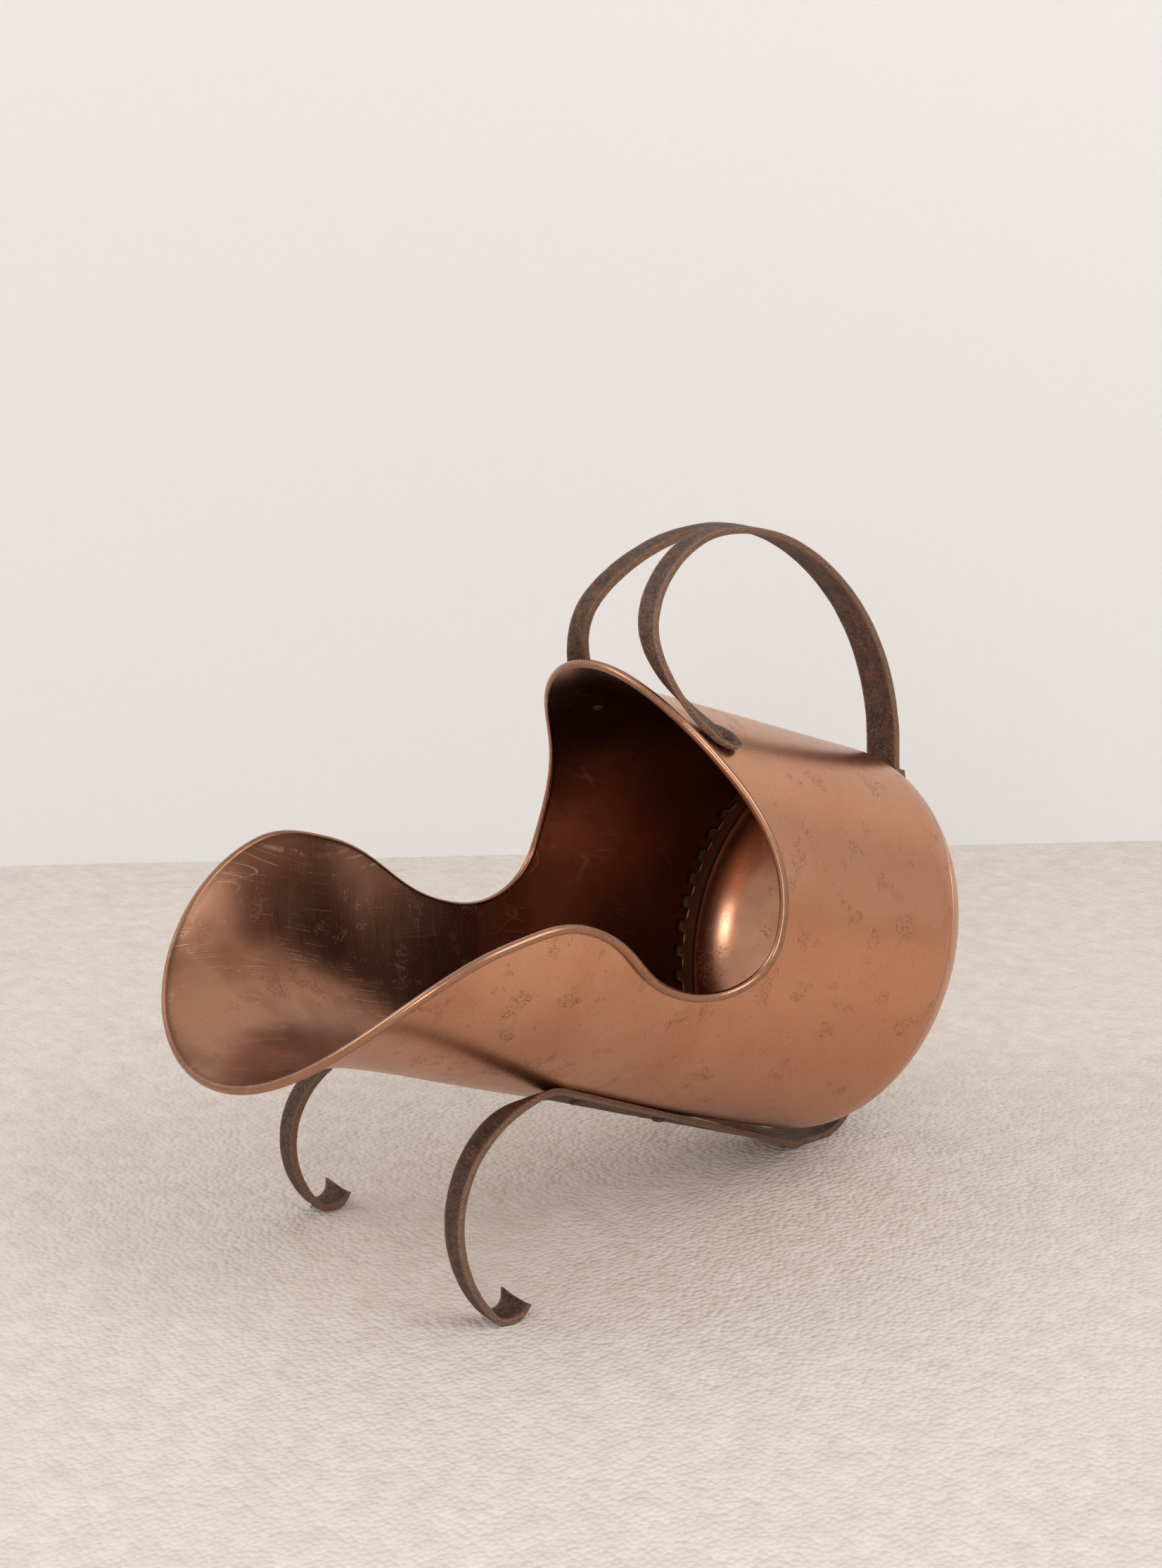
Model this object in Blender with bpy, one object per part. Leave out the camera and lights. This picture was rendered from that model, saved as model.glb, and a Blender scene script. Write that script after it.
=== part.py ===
"""A copper log bucket carried by wrought iron straps.

The barrel is one rolled copper sheet, cut at the mouth to a sinuous outline and
wired along it. A raised copper dome closes the back with a castellated cramp joint.
Two flat iron bars are each slit lengthwise at one end and opened into a fork. The
upper one is the handle, the lower one the cradle with its two legs. They lap behind
the dome. Sizes are metres. X runs across, -Y is the mouth, +Z is up.
"""

import math

import bmesh
import bpy
from mathutils import Matrix, Vector

# Copper barrel and dome
barrel_radius = 0.150
barrel_oval_share = 1.015
barrel_opening_share = 0.0092
sheet = 0.0012
barrel_tilt = math.radians(20.4)
belly_height = 0.0333
dome_depth = 0.075
dome_power = 2.3
joint_depth = 0.018
skirt_width = 0.010
cramp_width = 0.007

# Mouth, as reach forward of the circle where the dome springs, and angle from the bottom
tongue_reach = 0.265
waist_reach = 0.162
waist_angle = math.radians(93)
dip_reach = 0.228
dip_angle = math.radians(72.3)
ear_reach = 0.351
ear_angle = math.radians(84.7)
lip_reach = 0.498
mouth_flare = 0.014
mouth_flare_start = 0.205
mouth_flare_length = 0.145
lip_flare = 0.020
lip_flare_start = 0.375
wire_radius = 0.0018
curl_angle = math.radians(292)

# Iron bar
bar_width = 0.035
bar_thickness = 0.005
bar_chamfer = 0.0008
prong_width = 0.0195
lap_length = 0.050
lap_lean = math.radians(9.5)
lap_set_radius = 0.060

# Handle
handle_rise = 0.336
bow_share = 0.6131
crown_share = 0.4256
crown_turn = math.radians(33)
slit_turn = math.radians(3)
fork_bow_share = 0.3274
knee_end = math.radians(325)
ankle_radius = 0.020
handle_foot_setback = 0.0705
handle_foot_length = 0.018
handle_foot_spread = 0.080
handle_opening_shares = 0.12, 0.36

# Cradle and legs
cradle_spread = 0.076
crease_reach = 0.258
heel_setback = 0.0177
heel_radius = 0.037
heel_flat = 0.018
crease_radius = 0.070
shoulder_run = 0.0135
shoulder_radius = 0.073
shin_end = math.radians(311.5)
leg_spread = 0.1215
toe_radius = 0.011
toe_flat = 0.002
toe_curl = math.radians(75)
toe_tip = 0.004
toe_width = 0.037
toe_taper = 0.040
toe_taper_power = 2.2
runner_opening_shares = 0.25, 0.20
leg_opening_shares = 0.36, 0.02
roll_on_share = 0.25
roll_off_share = 0.35

# Rivets
rivet_radius = 0.0025
rivet_head_radius = 0.0048
rivet_head_height = 0.0022
burr_radius = 0.0040
burr_height = 0.0014
foot_rivet_inset = 0.011
cradle_rivet_inset = 0.020
cradle_rivet_pitch = 0.100
dome_rivet_pitch = 0.024

# Fit and fineness
clearance = 0.0003
strap_gap = 0.0008
burr_gap = 0.0002
overrun = 0.003
merge_distance = 0.00005
fall_tolerance = 0.0000005
bend_step = math.radians(9)
run_step = 0.030
dome_columns = 56
dome_rings = 8
shell_rings = 12
curl_rings = 7
wire_sides = 6
rivet_sides = 12

root_angle_shares = (1.0, 0.6, 0.36, 0.22, 0.0)
mouth_columns = (12, 6, 8, 14)
round_handle_share = 0.56
reverse_handle_share = 0.46
ring_crowding_power = 1.4
column_sweep_power = 5

AXIS = Vector((0.0, math.cos(barrel_tilt), -math.sin(barrel_tilt)))
RISE = Vector((0.0, math.sin(barrel_tilt), math.cos(barrel_tilt))) * barrel_oval_share
ACROSS = Vector((1.0, 0.0, 0.0))
SPRING = Vector((0.0, 0.0, belly_height + barrel_radius * RISE.z))
QUARTER = math.pi / 2


def eased(share):
    """A share from 0 to 1 with level ends."""
    share = min(max(share, 0.0), 1.0)
    return share * share * (3 - 2 * share)


def material(name, colour, roughness, metallic=1.0):
    made = bpy.data.materials.new(name)
    made.use_nodes = True
    shader = made.node_tree.nodes["Principled BSDF"]
    shader.inputs["Base Color"].default_value = (*colour, 1.0)
    shader.inputs["Roughness"].default_value = roughness
    shader.inputs["Metallic"].default_value = metallic
    return made


def finished(name, bm, finish, smooth_angle=math.radians(40)):
    """Turns the bmesh into a named object, smooth except where it has an edge."""
    mesh = bpy.data.meshes.new(name)
    bm.to_mesh(mesh)
    bm.free()
    mesh.shade_smooth()
    mesh.set_sharp_from_angle(angle=smooth_angle)
    mesh.materials.append(finish)
    made = bpy.data.objects.new(name, mesh)
    bpy.context.scene.collection.objects.link(made)
    return made


def loft(bm, rings):
    """Quads between neighbouring closed rows of vertices."""
    for near, far in zip(rings, rings[1:]):
        for i in range(len(near)):
            j = (i + 1) % len(near)
            bm.faces.new((near[i], far[i], far[j], near[j]))


def barrel_flare(angle, reach):
    """How far the sheet stands outside the plain barrel near the mouth."""
    side = mouth_flare * eased((reach - mouth_flare_start) / mouth_flare_length)
    if math.cos(angle) > 0:
        side *= math.sin(angle) ** 2
    past = max(reach - lip_flare_start, 0.0) / (lip_reach - lip_flare_start)
    return side + lip_flare * past**2 * max(math.cos(angle), 0.0)


def plain_radius(reach):
    """Half the barrel's width where it has no flare. The barrel opens a little towards the mouth."""
    return barrel_radius + barrel_opening_share * reach


def on_barrel(angle, reach, lift=0.0):
    """A point of the barrel's outer face. The angle runs from the bottom, + on the +X side."""
    radius = plain_radius(reach) + barrel_flare(abs(angle), reach) + lift
    return SPRING - AXIS * reach + ACROSS * (radius * math.sin(angle)) - RISE * (radius * math.cos(angle))


def on_dome(angle, polar, lift=0.0):
    """A point of the dome's outer face, with polar 0 at the spring circle and 90 degrees at its crown."""
    along_share = math.sin(polar) ** (2 / dome_power)
    round_share = max(math.cos(polar), 0.0) ** (2 / dome_power)
    slope = Vector((
        along_share ** (dome_power - 1) / dome_depth,
        round_share ** (dome_power - 1) / barrel_radius,
    )).normalized()
    along = dome_depth * along_share + lift * slope.x
    radius = barrel_radius * round_share + lift * slope.y
    return SPRING + AXIS * along + ACROSS * (radius * math.sin(angle)) - RISE * (radius * math.cos(angle))


def dome_polar(depth):
    """The polar angle of the dome's section at a depth behind the spring circle."""
    return math.asin((depth / dome_depth) ** (dome_power / 2))


def bezier(start, start_pull, end_pull, end, count):
    """Points of a cubic curve in the sheet's flat pattern, without the last one."""
    points = []
    for i in range(count):
        t = i / count
        weights = ((1 - t) ** 3, 3 * t * (1 - t) ** 2, 3 * t * t * (1 - t), t**3)
        corners = (start, start_pull, end_pull, end)
        points.append(sum((w * Vector(c) for w, c in zip(weights, corners)), Vector((0.0, 0.0))))
    return points


def mouth_half():
    """The mouth from the tongue to the lip, as (root angle, angle, reach) on the +X side.

    Each stretch of the outline joins two of its turning points, and leaves each one
    either round the barrel or along it.
    """
    turns = (
        (math.pi, tongue_reach, "round"),
        (waist_angle, waist_reach, "round"),
        (dip_angle, dip_reach, "along"),
        (ear_angle, ear_reach, "along"),
        (0.0, lip_reach, "round"),
    )
    columns = []
    for i, count in enumerate(mouth_columns):
        (angle, reach, way), (next_angle, next_reach, next_way) = turns[i], turns[i + 1]
        share = reverse_handle_share if way == next_way else round_handle_share
        pull = Vector((angle, reach))
        end_pull = Vector((next_angle, next_reach))
        step = (next_angle - angle, next_reach - reach)
        pull[way == "along"] += share * step[way == "along"]
        end_pull[next_way == "along"] -= share * step[next_way == "along"]
        curve = bezier((angle, reach), pull, end_pull, (next_angle, next_reach), count)
        roots = root_angle_shares[i], root_angle_shares[i + 1]
        for k, point in enumerate(curve):
            root = math.pi * (roots[0] + (roots[1] - roots[0]) * k / count)
            columns.append((root, point.x, point.y))
    return columns


def mouth_columns_all_round():
    """The half outline, the lip's middle, and the same mirrored back up to the tongue."""
    half = mouth_half()
    lip = [(0.0, 0.0, lip_reach)]
    mirrored = [(-root, -angle, reach) for root, angle, reach in reversed(half[1:])]
    return half + lip + mirrored


def rim_frames():
    """For each column, the rim's point, the way off the sheet's edge and the outward normal."""
    columns = mouth_columns_all_round()
    points = [on_barrel(angle, reach) for _, angle, reach in columns]
    frames = []
    for i, (_, angle, reach) in enumerate(columns):
        before, after = points[i - 1], points[(i + 1) % len(points)]
        along_rim = (after - before).normalized()
        step = sheet
        round_barrel = on_barrel(angle + step / barrel_radius, reach) - points[i]
        along_barrel = on_barrel(angle, reach + step) - points[i]
        normal = round_barrel.cross(along_barrel).normalized()
        frames.append((points[i], along_rim.cross(normal).normalized(), normal))
    return frames


def barrel_shell(finish):
    """The rolled sheet: necked at the back, flared at the mouth and curled over the rim wire."""
    columns = mouth_columns_all_round()
    bm = bmesh.new()
    rings = []
    joint_polar = dome_polar(joint_depth)
    for share in (1.0, 0.5):
        rings.append([bm.verts.new(on_dome(root, joint_polar * share)) for root, _, _ in columns])
    for ring in range(shell_rings + 1):
        share = 1 - (1 - ring / shell_rings) ** ring_crowding_power
        row = []
        for root, angle, reach in columns:
            swept = root + (angle - root) * share**column_sweep_power
            row.append(bm.verts.new(on_barrel(swept, reach * share)))
        rings.append(row)
    curl_radius = wire_radius + clearance
    frames = rim_frames()
    for ring in range(1, curl_rings + 1):
        turn = curl_angle * ring / curl_rings
        off, out = curl_radius * math.sin(turn), curl_radius * (1 - math.cos(turn))
        rings.append([bm.verts.new(p + edge * off + normal * out) for p, edge, normal in frames])
    loft(bm, rings)
    shell = finished("barrel_shell", bm, finish)
    thicken(shell)
    return shell


def thicken(shell):
    """Gives a sheet its thickness on its inner side."""
    wall = shell.modifiers.new("Sheet", "SOLIDIFY")
    wall.thickness = sheet
    wall.offset = -1.0
    wall.use_even_offset = True


def rim_wire(finish):
    """The iron wire that the sheet's edge is curled over."""
    curve = bpy.data.curves.new("rim_wire", "CURVE")
    curve.dimensions = "3D"
    curve.bevel_depth = wire_radius
    curve.bevel_resolution = wire_sides // 2 - 2
    frames = rim_frames()
    line = curve.splines.new("POLY")
    line.points.add(len(frames) - 1)
    line.use_cyclic_u = True
    for spot, (point, _, normal) in zip(line.points, frames):
        spot.co = (*(point + normal * (wire_radius + clearance)), 1.0)
    curve.materials.append(finish)
    made = bpy.data.objects.new("rim_wire", curve)
    bpy.context.scene.collection.objects.link(made)
    return made


def dome_end(finish):
    """The raised dome, stepped in to a skirt whose edge is cut into cramps inside the barrel."""
    bm = bmesh.new()
    tuck = -(sheet + 2 * clearance)
    polars = [dome_polar(depth) for depth in (joint_depth - skirt_width, joint_depth)]
    first = dome_polar(joint_depth + sheet)
    angles = [math.tau * i / dome_columns for i in range(dome_columns)]
    rings = [[bm.verts.new(on_dome(a, polar, tuck)) for a in angles] for polar in polars]
    for ring in range(dome_rings):
        polar = first + (QUARTER - first) * ring / dome_rings
        rings.append([bm.verts.new(on_dome(a, polar)) for a in angles])
    loft(bm, rings)
    crown = bm.verts.new(on_dome(0.0, QUARTER))
    last = rings[-1]
    for i, corner in enumerate(last):
        bm.faces.new((corner, crown, last[(i + 1) % dome_columns]))
    cut_cramps(bm, rings[0], angles, tuck)
    dome = finished("dome_end", bm, finish)
    thicken(dome)
    return dome


def cut_cramps(bm, edge, angles, tuck):
    """Every second facet of the skirt's edge goes on as a cramp."""
    polar = dome_polar(joint_depth - skirt_width - cramp_width)
    for i in range(0, dome_columns, 2):
        j = (i + 1) % dome_columns
        tips = [bm.verts.new(on_dome(angles[k], polar, tuck)) for k in (i, j)]
        bm.faces.new((tips[0], edge[i], edge[j], tips[1]))


def arc_advance(radius, start, end):
    """How far an arc turning left moves along Y between two headings."""
    return radius * (math.sin(end) - math.sin(start))


def arc_rise(radius, start, end):
    """How far it moves along Z."""
    return radius * (math.cos(start) - math.cos(end))


class Strap:
    """A bar's middle line in the side view, with its section's place along it.

    The line starts at (y, z) with a heading, 0 along +Y and a quarter turn along +Z. Each
    move is a straight length and no turn, or a radius and the angle turned to the left.
    The bar is slit where the moves up to slit_after end.
    """

    def __init__(self, start, heading, moves, slit_after):
        y, z = start
        distance = 0.0
        self.stations = [(distance, y, z, heading)]
        self.marks = [distance]
        for size, turn in moves:
            length = size * abs(turn) if turn else size
            count = math.ceil(abs(turn) / bend_step if turn else length / run_step)
            for _ in range(count):
                chord = 2 * size * math.sin(abs(turn) / count / 2) if turn else length / count
                y += chord * math.cos(heading + turn / count / 2)
                z += chord * math.sin(heading + turn / count / 2)
                heading += turn / count
                distance += length / count
                self.stations.append((distance, y, z, heading))
            self.marks.append(distance)
        self.slit = self.marks[slit_after]

    def across(self, distance):
        """The section's distance from the middle plane."""
        raise NotImplementedError

    def roll(self, distance):
        """The section's turn about the line."""
        raise NotImplementedError

    def fall(self, distance):
        """How far the section lies to the right of the side view's line."""
        return 0.0

    def half_width(self, distance):
        share = eased((distance - self.slit) / bar_width)
        return bar_width / 4 + (prong_width / 2 - bar_width / 4) * share

    def frame(self, distance):
        """The section's centre and its directions along, across and through the bar."""
        i = next(k for k, s in enumerate(self.stations[1:]) if s[0] >= distance - merge_distance)
        before, after = self.stations[i], self.stations[i + 1]
        share = (distance - before[0]) / (after[0] - before[0])
        _, y, z, heading = (a + (b - a) * share for a, b in zip(before, after))
        left = Vector((0.0, -math.sin(heading), math.cos(heading)))
        centre = Vector((self.across(distance), y, z)) - left * self.fall(distance)
        step = bar_thickness if distance > self.slit + merge_distance else 0.0
        drift = self.across(distance + step) - self.across(distance - step)
        drop = self.fall(distance + step) - self.fall(distance - step)
        along = Vector((0.0, math.cos(heading), math.sin(heading))) * max(step, bar_thickness) * 2
        along = (along + ACROSS * drift - left * drop).normalized()
        turn = self.roll(distance)
        width = ACROSS * math.cos(turn) + left * math.sin(turn)
        width = (width - along * width.dot(along)).normalized()
        return centre, along, width, width.cross(along)

    def section(self, distance):
        """The outline of the +X half, from its inner lower corner round the chamfered side."""
        centre, _, width, depth = self.frame(distance)
        half, deep = self.half_width(distance), bar_thickness / 2
        outline = (
            (-half, -deep),
            (half - bar_chamfer, -deep),
            (half, -deep + bar_chamfer),
            (half, deep - bar_chamfer),
            (half - bar_chamfer, deep),
            (-half, deep),
        )
        return [centre + width * w + depth * d for w, d in outline]

    def forged(self, name, finish):
        """The bar itself: the +X half with its own inner face past the slit, and its mirror."""
        bm = bmesh.new()
        rings = [[bm.verts.new(corner) for corner in self.section(s[0])] for s in self.stations]
        for station, near, far in zip(self.stations, rings, rings[1:]):
            for k in range(len(near) - 1):
                bm.faces.new((near[k], far[k], far[k + 1], near[k + 1]))
            if station[0] >= self.slit - merge_distance:
                bm.faces.new((near[-1], far[-1], far[0], near[0]))
        bm.faces.new(rings[0])
        bm.faces.new(reversed(rings[-1]))
        fork = finished(name, bm, finish, math.radians(30))
        mirror = fork.modifiers.new("Other prong", "MIRROR")
        mirror.merge_threshold = merge_distance
        return fork


def dome_tangent(lean):
    """Where a bar leaning forward rests on the dome's back, the way up the bar and the way out."""
    outward = Vector((0.0, math.cos(lean), math.sin(lean)))
    deep = dome_depth * outward.dot(AXIS)
    tall = barrel_radius * outward.dot(RISE)
    power = dome_power / (dome_power - 1)
    whole = (deep**power + tall**power) ** (1 / power)
    along = dome_depth * (deep / whole) ** (power - 1)
    radius = barrel_radius * (tall / whole) ** (power - 1)
    return SPRING + AXIS * along + RISE * radius, outward.cross(ACROSS) * -1, outward


def dome_fall(offset):
    """How far the dome's back lies inside that bar's face, at an offset up the bar."""
    touch, up, outward = dome_tangent(lap_lean)
    low, high = 0.0, QUARTER
    while high - low > fall_tolerance:
        polar = (low + high) / 2
        if (on_dome(math.pi, polar) - touch).dot(up) > offset:
            low = polar
        else:
            high = polar
    return (touch - on_dome(math.pi, low)).dot(outward)


def opening(start, end, length, travelled, slopes):
    """A prong's place across, from start to end, with its opening share given at both ends."""
    t = travelled / length
    leave = slopes[0] * length * t * (1 - t) ** 2
    arrive = slopes[1] * length * t * t * (1 - t)
    return start + (end - start) * eased(t) + leave - arrive


class Handle(Strap):
    """Up from the dome's back, over in a bow, and down as two prongs to feet on the barrel."""

    def __init__(self):
        touch, up, outward = dome_tangent(lap_lean)
        start = touch + outward * (clearance + bar_thickness / 2) - up * lap_length / 2
        lap_top = start + up * lap_length
        top = SPRING.z + handle_rise - bar_thickness / 2
        bow_radius, crown_radius = handle_rise * bow_share, handle_rise * crown_share
        fork_bow_radius = handle_rise * fork_bow_share
        foot_reach = tongue_reach - handle_foot_setback
        level, half_way = math.pi, math.pi + QUARTER / 2
        turned = level - crown_turn
        landing = 2 * math.pi - barrel_tilt - barrel_opening_share
        upright_start = lap_top.z + arc_rise(lap_set_radius, QUARTER, QUARTER + lap_lean)
        bow_start = top - arc_rise(crown_radius, turned, level) - arc_rise(bow_radius, QUARTER, turned)
        crown = Vector((
            lap_top.y
            + arc_advance(lap_set_radius, QUARTER, QUARTER + lap_lean)
            + arc_advance(bow_radius, QUARTER, turned)
            + arc_advance(crown_radius, turned, level),
            top,
        ))
        seat = strap_gap + bar_thickness / 2
        self.foot_angle = math.asin(handle_foot_spread / (plain_radius(foot_reach) + seat))
        foot = on_barrel(math.pi - self.foot_angle, foot_reach, seat)
        before_foot = foot - AXIS * handle_foot_length / 2
        left_over = before_foot.yz - crown
        left_over -= Vector((
            arc_advance(fork_bow_radius, level, half_way) + arc_advance(ankle_radius, knee_end, landing),
            arc_rise(fork_bow_radius, level, half_way) + arc_rise(ankle_radius, knee_end, landing),
        ))
        shape = Matrix((
            (arc_advance(1, half_way, knee_end), math.cos(knee_end)),
            (arc_rise(1, half_way, knee_end), math.sin(knee_end)),
        ))
        knee_radius, shin_run = shape.inverted() @ left_over
        moves = (
            (lap_length, 0.0),
            (lap_set_radius, -lap_lean),
            (bow_start - upright_start, 0.0),
            (bow_radius, turned - QUARTER),
            (crown_radius, crown_turn),
            (fork_bow_radius, slit_turn),
            (fork_bow_radius, half_way - level - slit_turn),
            (knee_radius, knee_end - half_way),
            (shin_run, 0.0),
            (ankle_radius, landing - knee_end),
            (handle_foot_length, 0.0),
        )
        super().__init__(start.yz, QUARTER + lap_lean, moves, slit_after=6)
        self.foot_start, self.end = self.marks[-2:]
        self.foot_middle = (self.foot_start + self.end) / 2
        self.foot_across = foot.x

    def across(self, distance):
        if distance <= self.slit:
            return bar_width / 4
        if distance > self.foot_middle:
            return self.foot_across + (distance - self.foot_middle) * handle_opening_shares[1]
        length = self.foot_middle - self.slit
        return opening(
            bar_width / 4, self.foot_across, length, distance - self.slit, handle_opening_shares
        )

    def landed(self, distance):
        """0 on the free part of the prong, 1 from where its foot starts."""
        lead = (self.foot_start - self.slit) / 2
        return eased((distance - self.foot_start + lead) / lead)

    def roll(self, distance):
        return -self.foot_angle * self.landed(distance)

    def fall(self, distance):
        """The foot's flat follows the barrel as it spreads."""
        aside = self.across(distance) - self.foot_across
        return aside * math.tan(self.foot_angle) * self.landed(distance)


class Cradle(Strap):
    """Down behind the dome, forward under the barrel as two prongs, and on down as two legs."""

    def __init__(self):
        touch, up, outward = dome_tangent(lap_lean)
        middle = bar_thickness / 2
        start = touch + outward * (2 * clearance + 3 * middle) + up * lap_length / 2
        lap_end = start - up * lap_length
        self.seat_radius = plain_radius(crease_reach) + strap_gap + middle
        seat_angle = math.asin(cradle_spread / self.seat_radius)
        crease = on_barrel(seat_angle, crease_reach, strap_gap + middle)
        slope = math.atan2(crease.z - middle, -heel_setback - crease.y)
        corner = heel_radius * math.tan(slope / 2)
        runner = math.hypot(crease.z - middle, -heel_setback - crease.y) - corner
        turned = QUARTER / 2
        heel_end = corner - heel_setback + heel_flat + heel_radius * math.sin(turned)
        back = lap_end.y + lap_set_radius * (1 - math.cos(lap_lean))
        back_height = lap_end.z - lap_set_radius * math.sin(lap_lean)
        back_radius = (back - heel_end) / (1 - math.cos(turned))
        back_rise = heel_radius * (1 - math.cos(turned)) + back_radius * math.sin(turned)
        rising, level, drop = math.pi - slope, math.pi, 3 * QUARTER
        floor = 2 * math.pi
        fall = crease.z - middle + arc_rise(crease_radius, rising, level)
        fall += arc_rise(shoulder_radius, level, drop) + arc_rise(toe_radius, shin_end, floor)
        shin_radius = -fall / arc_rise(1, drop, shin_end)
        moves = (
            (lap_length, 0.0),
            (lap_set_radius, -lap_lean),
            (back_height - middle - back_rise, 0.0),
            (back_radius, -turned),
            (heel_radius, -turned),
            (heel_flat, 0.0),
            (heel_radius, -slope),
            (runner, 0.0),
            (crease_radius, level - rising),
            (shoulder_run, 0.0),
            (shoulder_radius, drop - level),
            (shin_radius, shin_end - drop),
            (toe_radius, floor - shin_end),
            (toe_flat, 0.0),
            (toe_radius, toe_curl),
            (toe_tip, 0.0),
        )
        super().__init__(start.yz, lap_lean - QUARTER, moves, slit_after=6)
        self.runner_start, self.crease = self.marks[7:9]
        self.toe_start, self.end = self.marks[13], self.marks[16]

    def across(self, distance):
        if distance <= self.slit:
            return bar_width / 4
        if distance <= self.crease:
            travelled, length = distance - self.slit, self.crease - self.slit
            return opening(bar_width / 4, cradle_spread, length, travelled, runner_opening_shares)
        length = self.toe_start - self.crease
        travelled = min(distance - self.crease, length)
        return opening(cradle_spread, leg_spread, length, travelled, leg_opening_shares)

    def half_width(self, distance):
        spread = max((distance - self.end + toe_taper) / toe_taper, 0.0) ** toe_taper_power
        return super().half_width(distance) + (toe_width - prong_width) / 2 * spread

    def roll(self, distance):
        lean = math.asin(min(self.across(distance) / self.seat_radius, 1.0))
        runner = self.crease - self.runner_start
        leg = self.toe_start - self.crease
        on = eased((distance - self.runner_start) / runner / roll_on_share)
        off = eased((distance - self.crease) / leg / roll_off_share)
        return -lean * on * (1 - off)


def rivet(name, foot, axis, grip, finish):
    """A snap-headed rivet, spun about its axis. Its head is outside foot and its burr inside the
    grip, which ends at foot."""
    head, burr = clearance, -grip - clearance
    dome_share, rim_share = 0.72, 0.25
    profile = (
        (0.0, head + rivet_head_height),
        (rivet_head_radius * dome_share, head + rivet_head_height * dome_share),
        (rivet_head_radius, head + rivet_head_height * rim_share),
        (rivet_head_radius, head),
        (rivet_radius, head),
        (rivet_radius, burr),
        (burr_radius, burr),
        (burr_radius * dome_share, burr - burr_height),
        (0.0, burr - burr_height),
    )
    bm = bmesh.new()
    corners = [bm.verts.new((radius, 0.0, height)) for radius, height in profile]
    edges = [bm.edges.new(pair) for pair in zip(corners, corners[1:])]
    bmesh.ops.spin(
        bm,
        geom=corners + edges,
        cent=(0.0, 0.0, 0.0),
        axis=(0.0, 0.0, 1.0),
        angle=2 * math.pi,
        steps=rivet_sides,
        use_merge=True,
    )
    bmesh.ops.remove_doubles(bm, verts=bm.verts, dist=merge_distance)
    bmesh.ops.recalc_face_normals(bm, faces=bm.faces)
    bmesh.ops.transform(bm, matrix=standing(foot, axis), verts=bm.verts)
    return finished(name, bm, finish)


def standing(foot, axis):
    """The matrix that stands +Z along the axis at the foot."""
    return Matrix.Translation(foot) @ axis.to_track_quat("Z", "Y").to_matrix().to_4x4()


def drilled(pieces, seats):
    """Cuts one clearance hole per seat, a (foot, axis, grip) triple, through the pieces."""
    bm = bmesh.new()
    for foot, axis, grip in seats:
        bmesh.ops.create_cone(
            bm,
            cap_ends=True,
            segments=rivet_sides,
            radius1=rivet_radius + clearance,
            radius2=rivet_radius + clearance,
            depth=grip + 2 * overrun,
            matrix=standing(foot - axis * grip / 2, axis),
        )
    mesh = bpy.data.meshes.new("rivet_holes")
    bm.to_mesh(mesh)
    bm.free()
    cutter = bpy.data.objects.new("rivet_holes", mesh)
    bpy.context.scene.collection.objects.link(cutter)
    cutter.hide_render = True
    cutter.display_type = "WIRE"
    for piece in pieces:
        cut = piece.modifiers.new("Rivet holes", "BOOLEAN")
        cut.object = cutter
        cut.operation = "DIFFERENCE"
        cut.solver = "EXACT"


def mirrored(vector):
    return Vector((-vector.x, vector.y, vector.z))


def height_off_barrel(point):
    """How far a point is outside the barrel's outer face."""
    offset = SPRING - point
    reach = offset.dot(AXIS)
    down = offset.dot(RISE) / barrel_oval_share**2
    angle = math.atan2(abs(point.x), down)
    return math.hypot(point.x, down) - plain_radius(reach) - barrel_flare(angle, reach)


def prong_seat(strap, distance):
    """A rivet's (foot, axis, grip) through a prong and the sheet, which may lean under the burr."""
    centre, along, across, axis = strap.frame(distance)
    foot = centre + axis * bar_thickness / 2
    ways = (along, -along, across, -across)
    height = max(height_off_barrel(foot + way * burr_radius) for way in ways)
    return foot, axis, height + sheet + burr_gap


def lap_seat(offset):
    """The same through both laps and the dome, which curves away under the burr."""
    touch, up, outward = dome_tangent(lap_lean)
    laps = 2 * (clearance + bar_thickness)
    fall = max(dome_fall(offset + side * burr_radius) for side in (1, -1))
    return touch + up * offset + outward * laps, outward, laps + fall + sheet + clearance


def both_sides(seat):
    foot, axis, grip = seat
    return seat, (mirrored(foot), mirrored(axis), grip)


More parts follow.
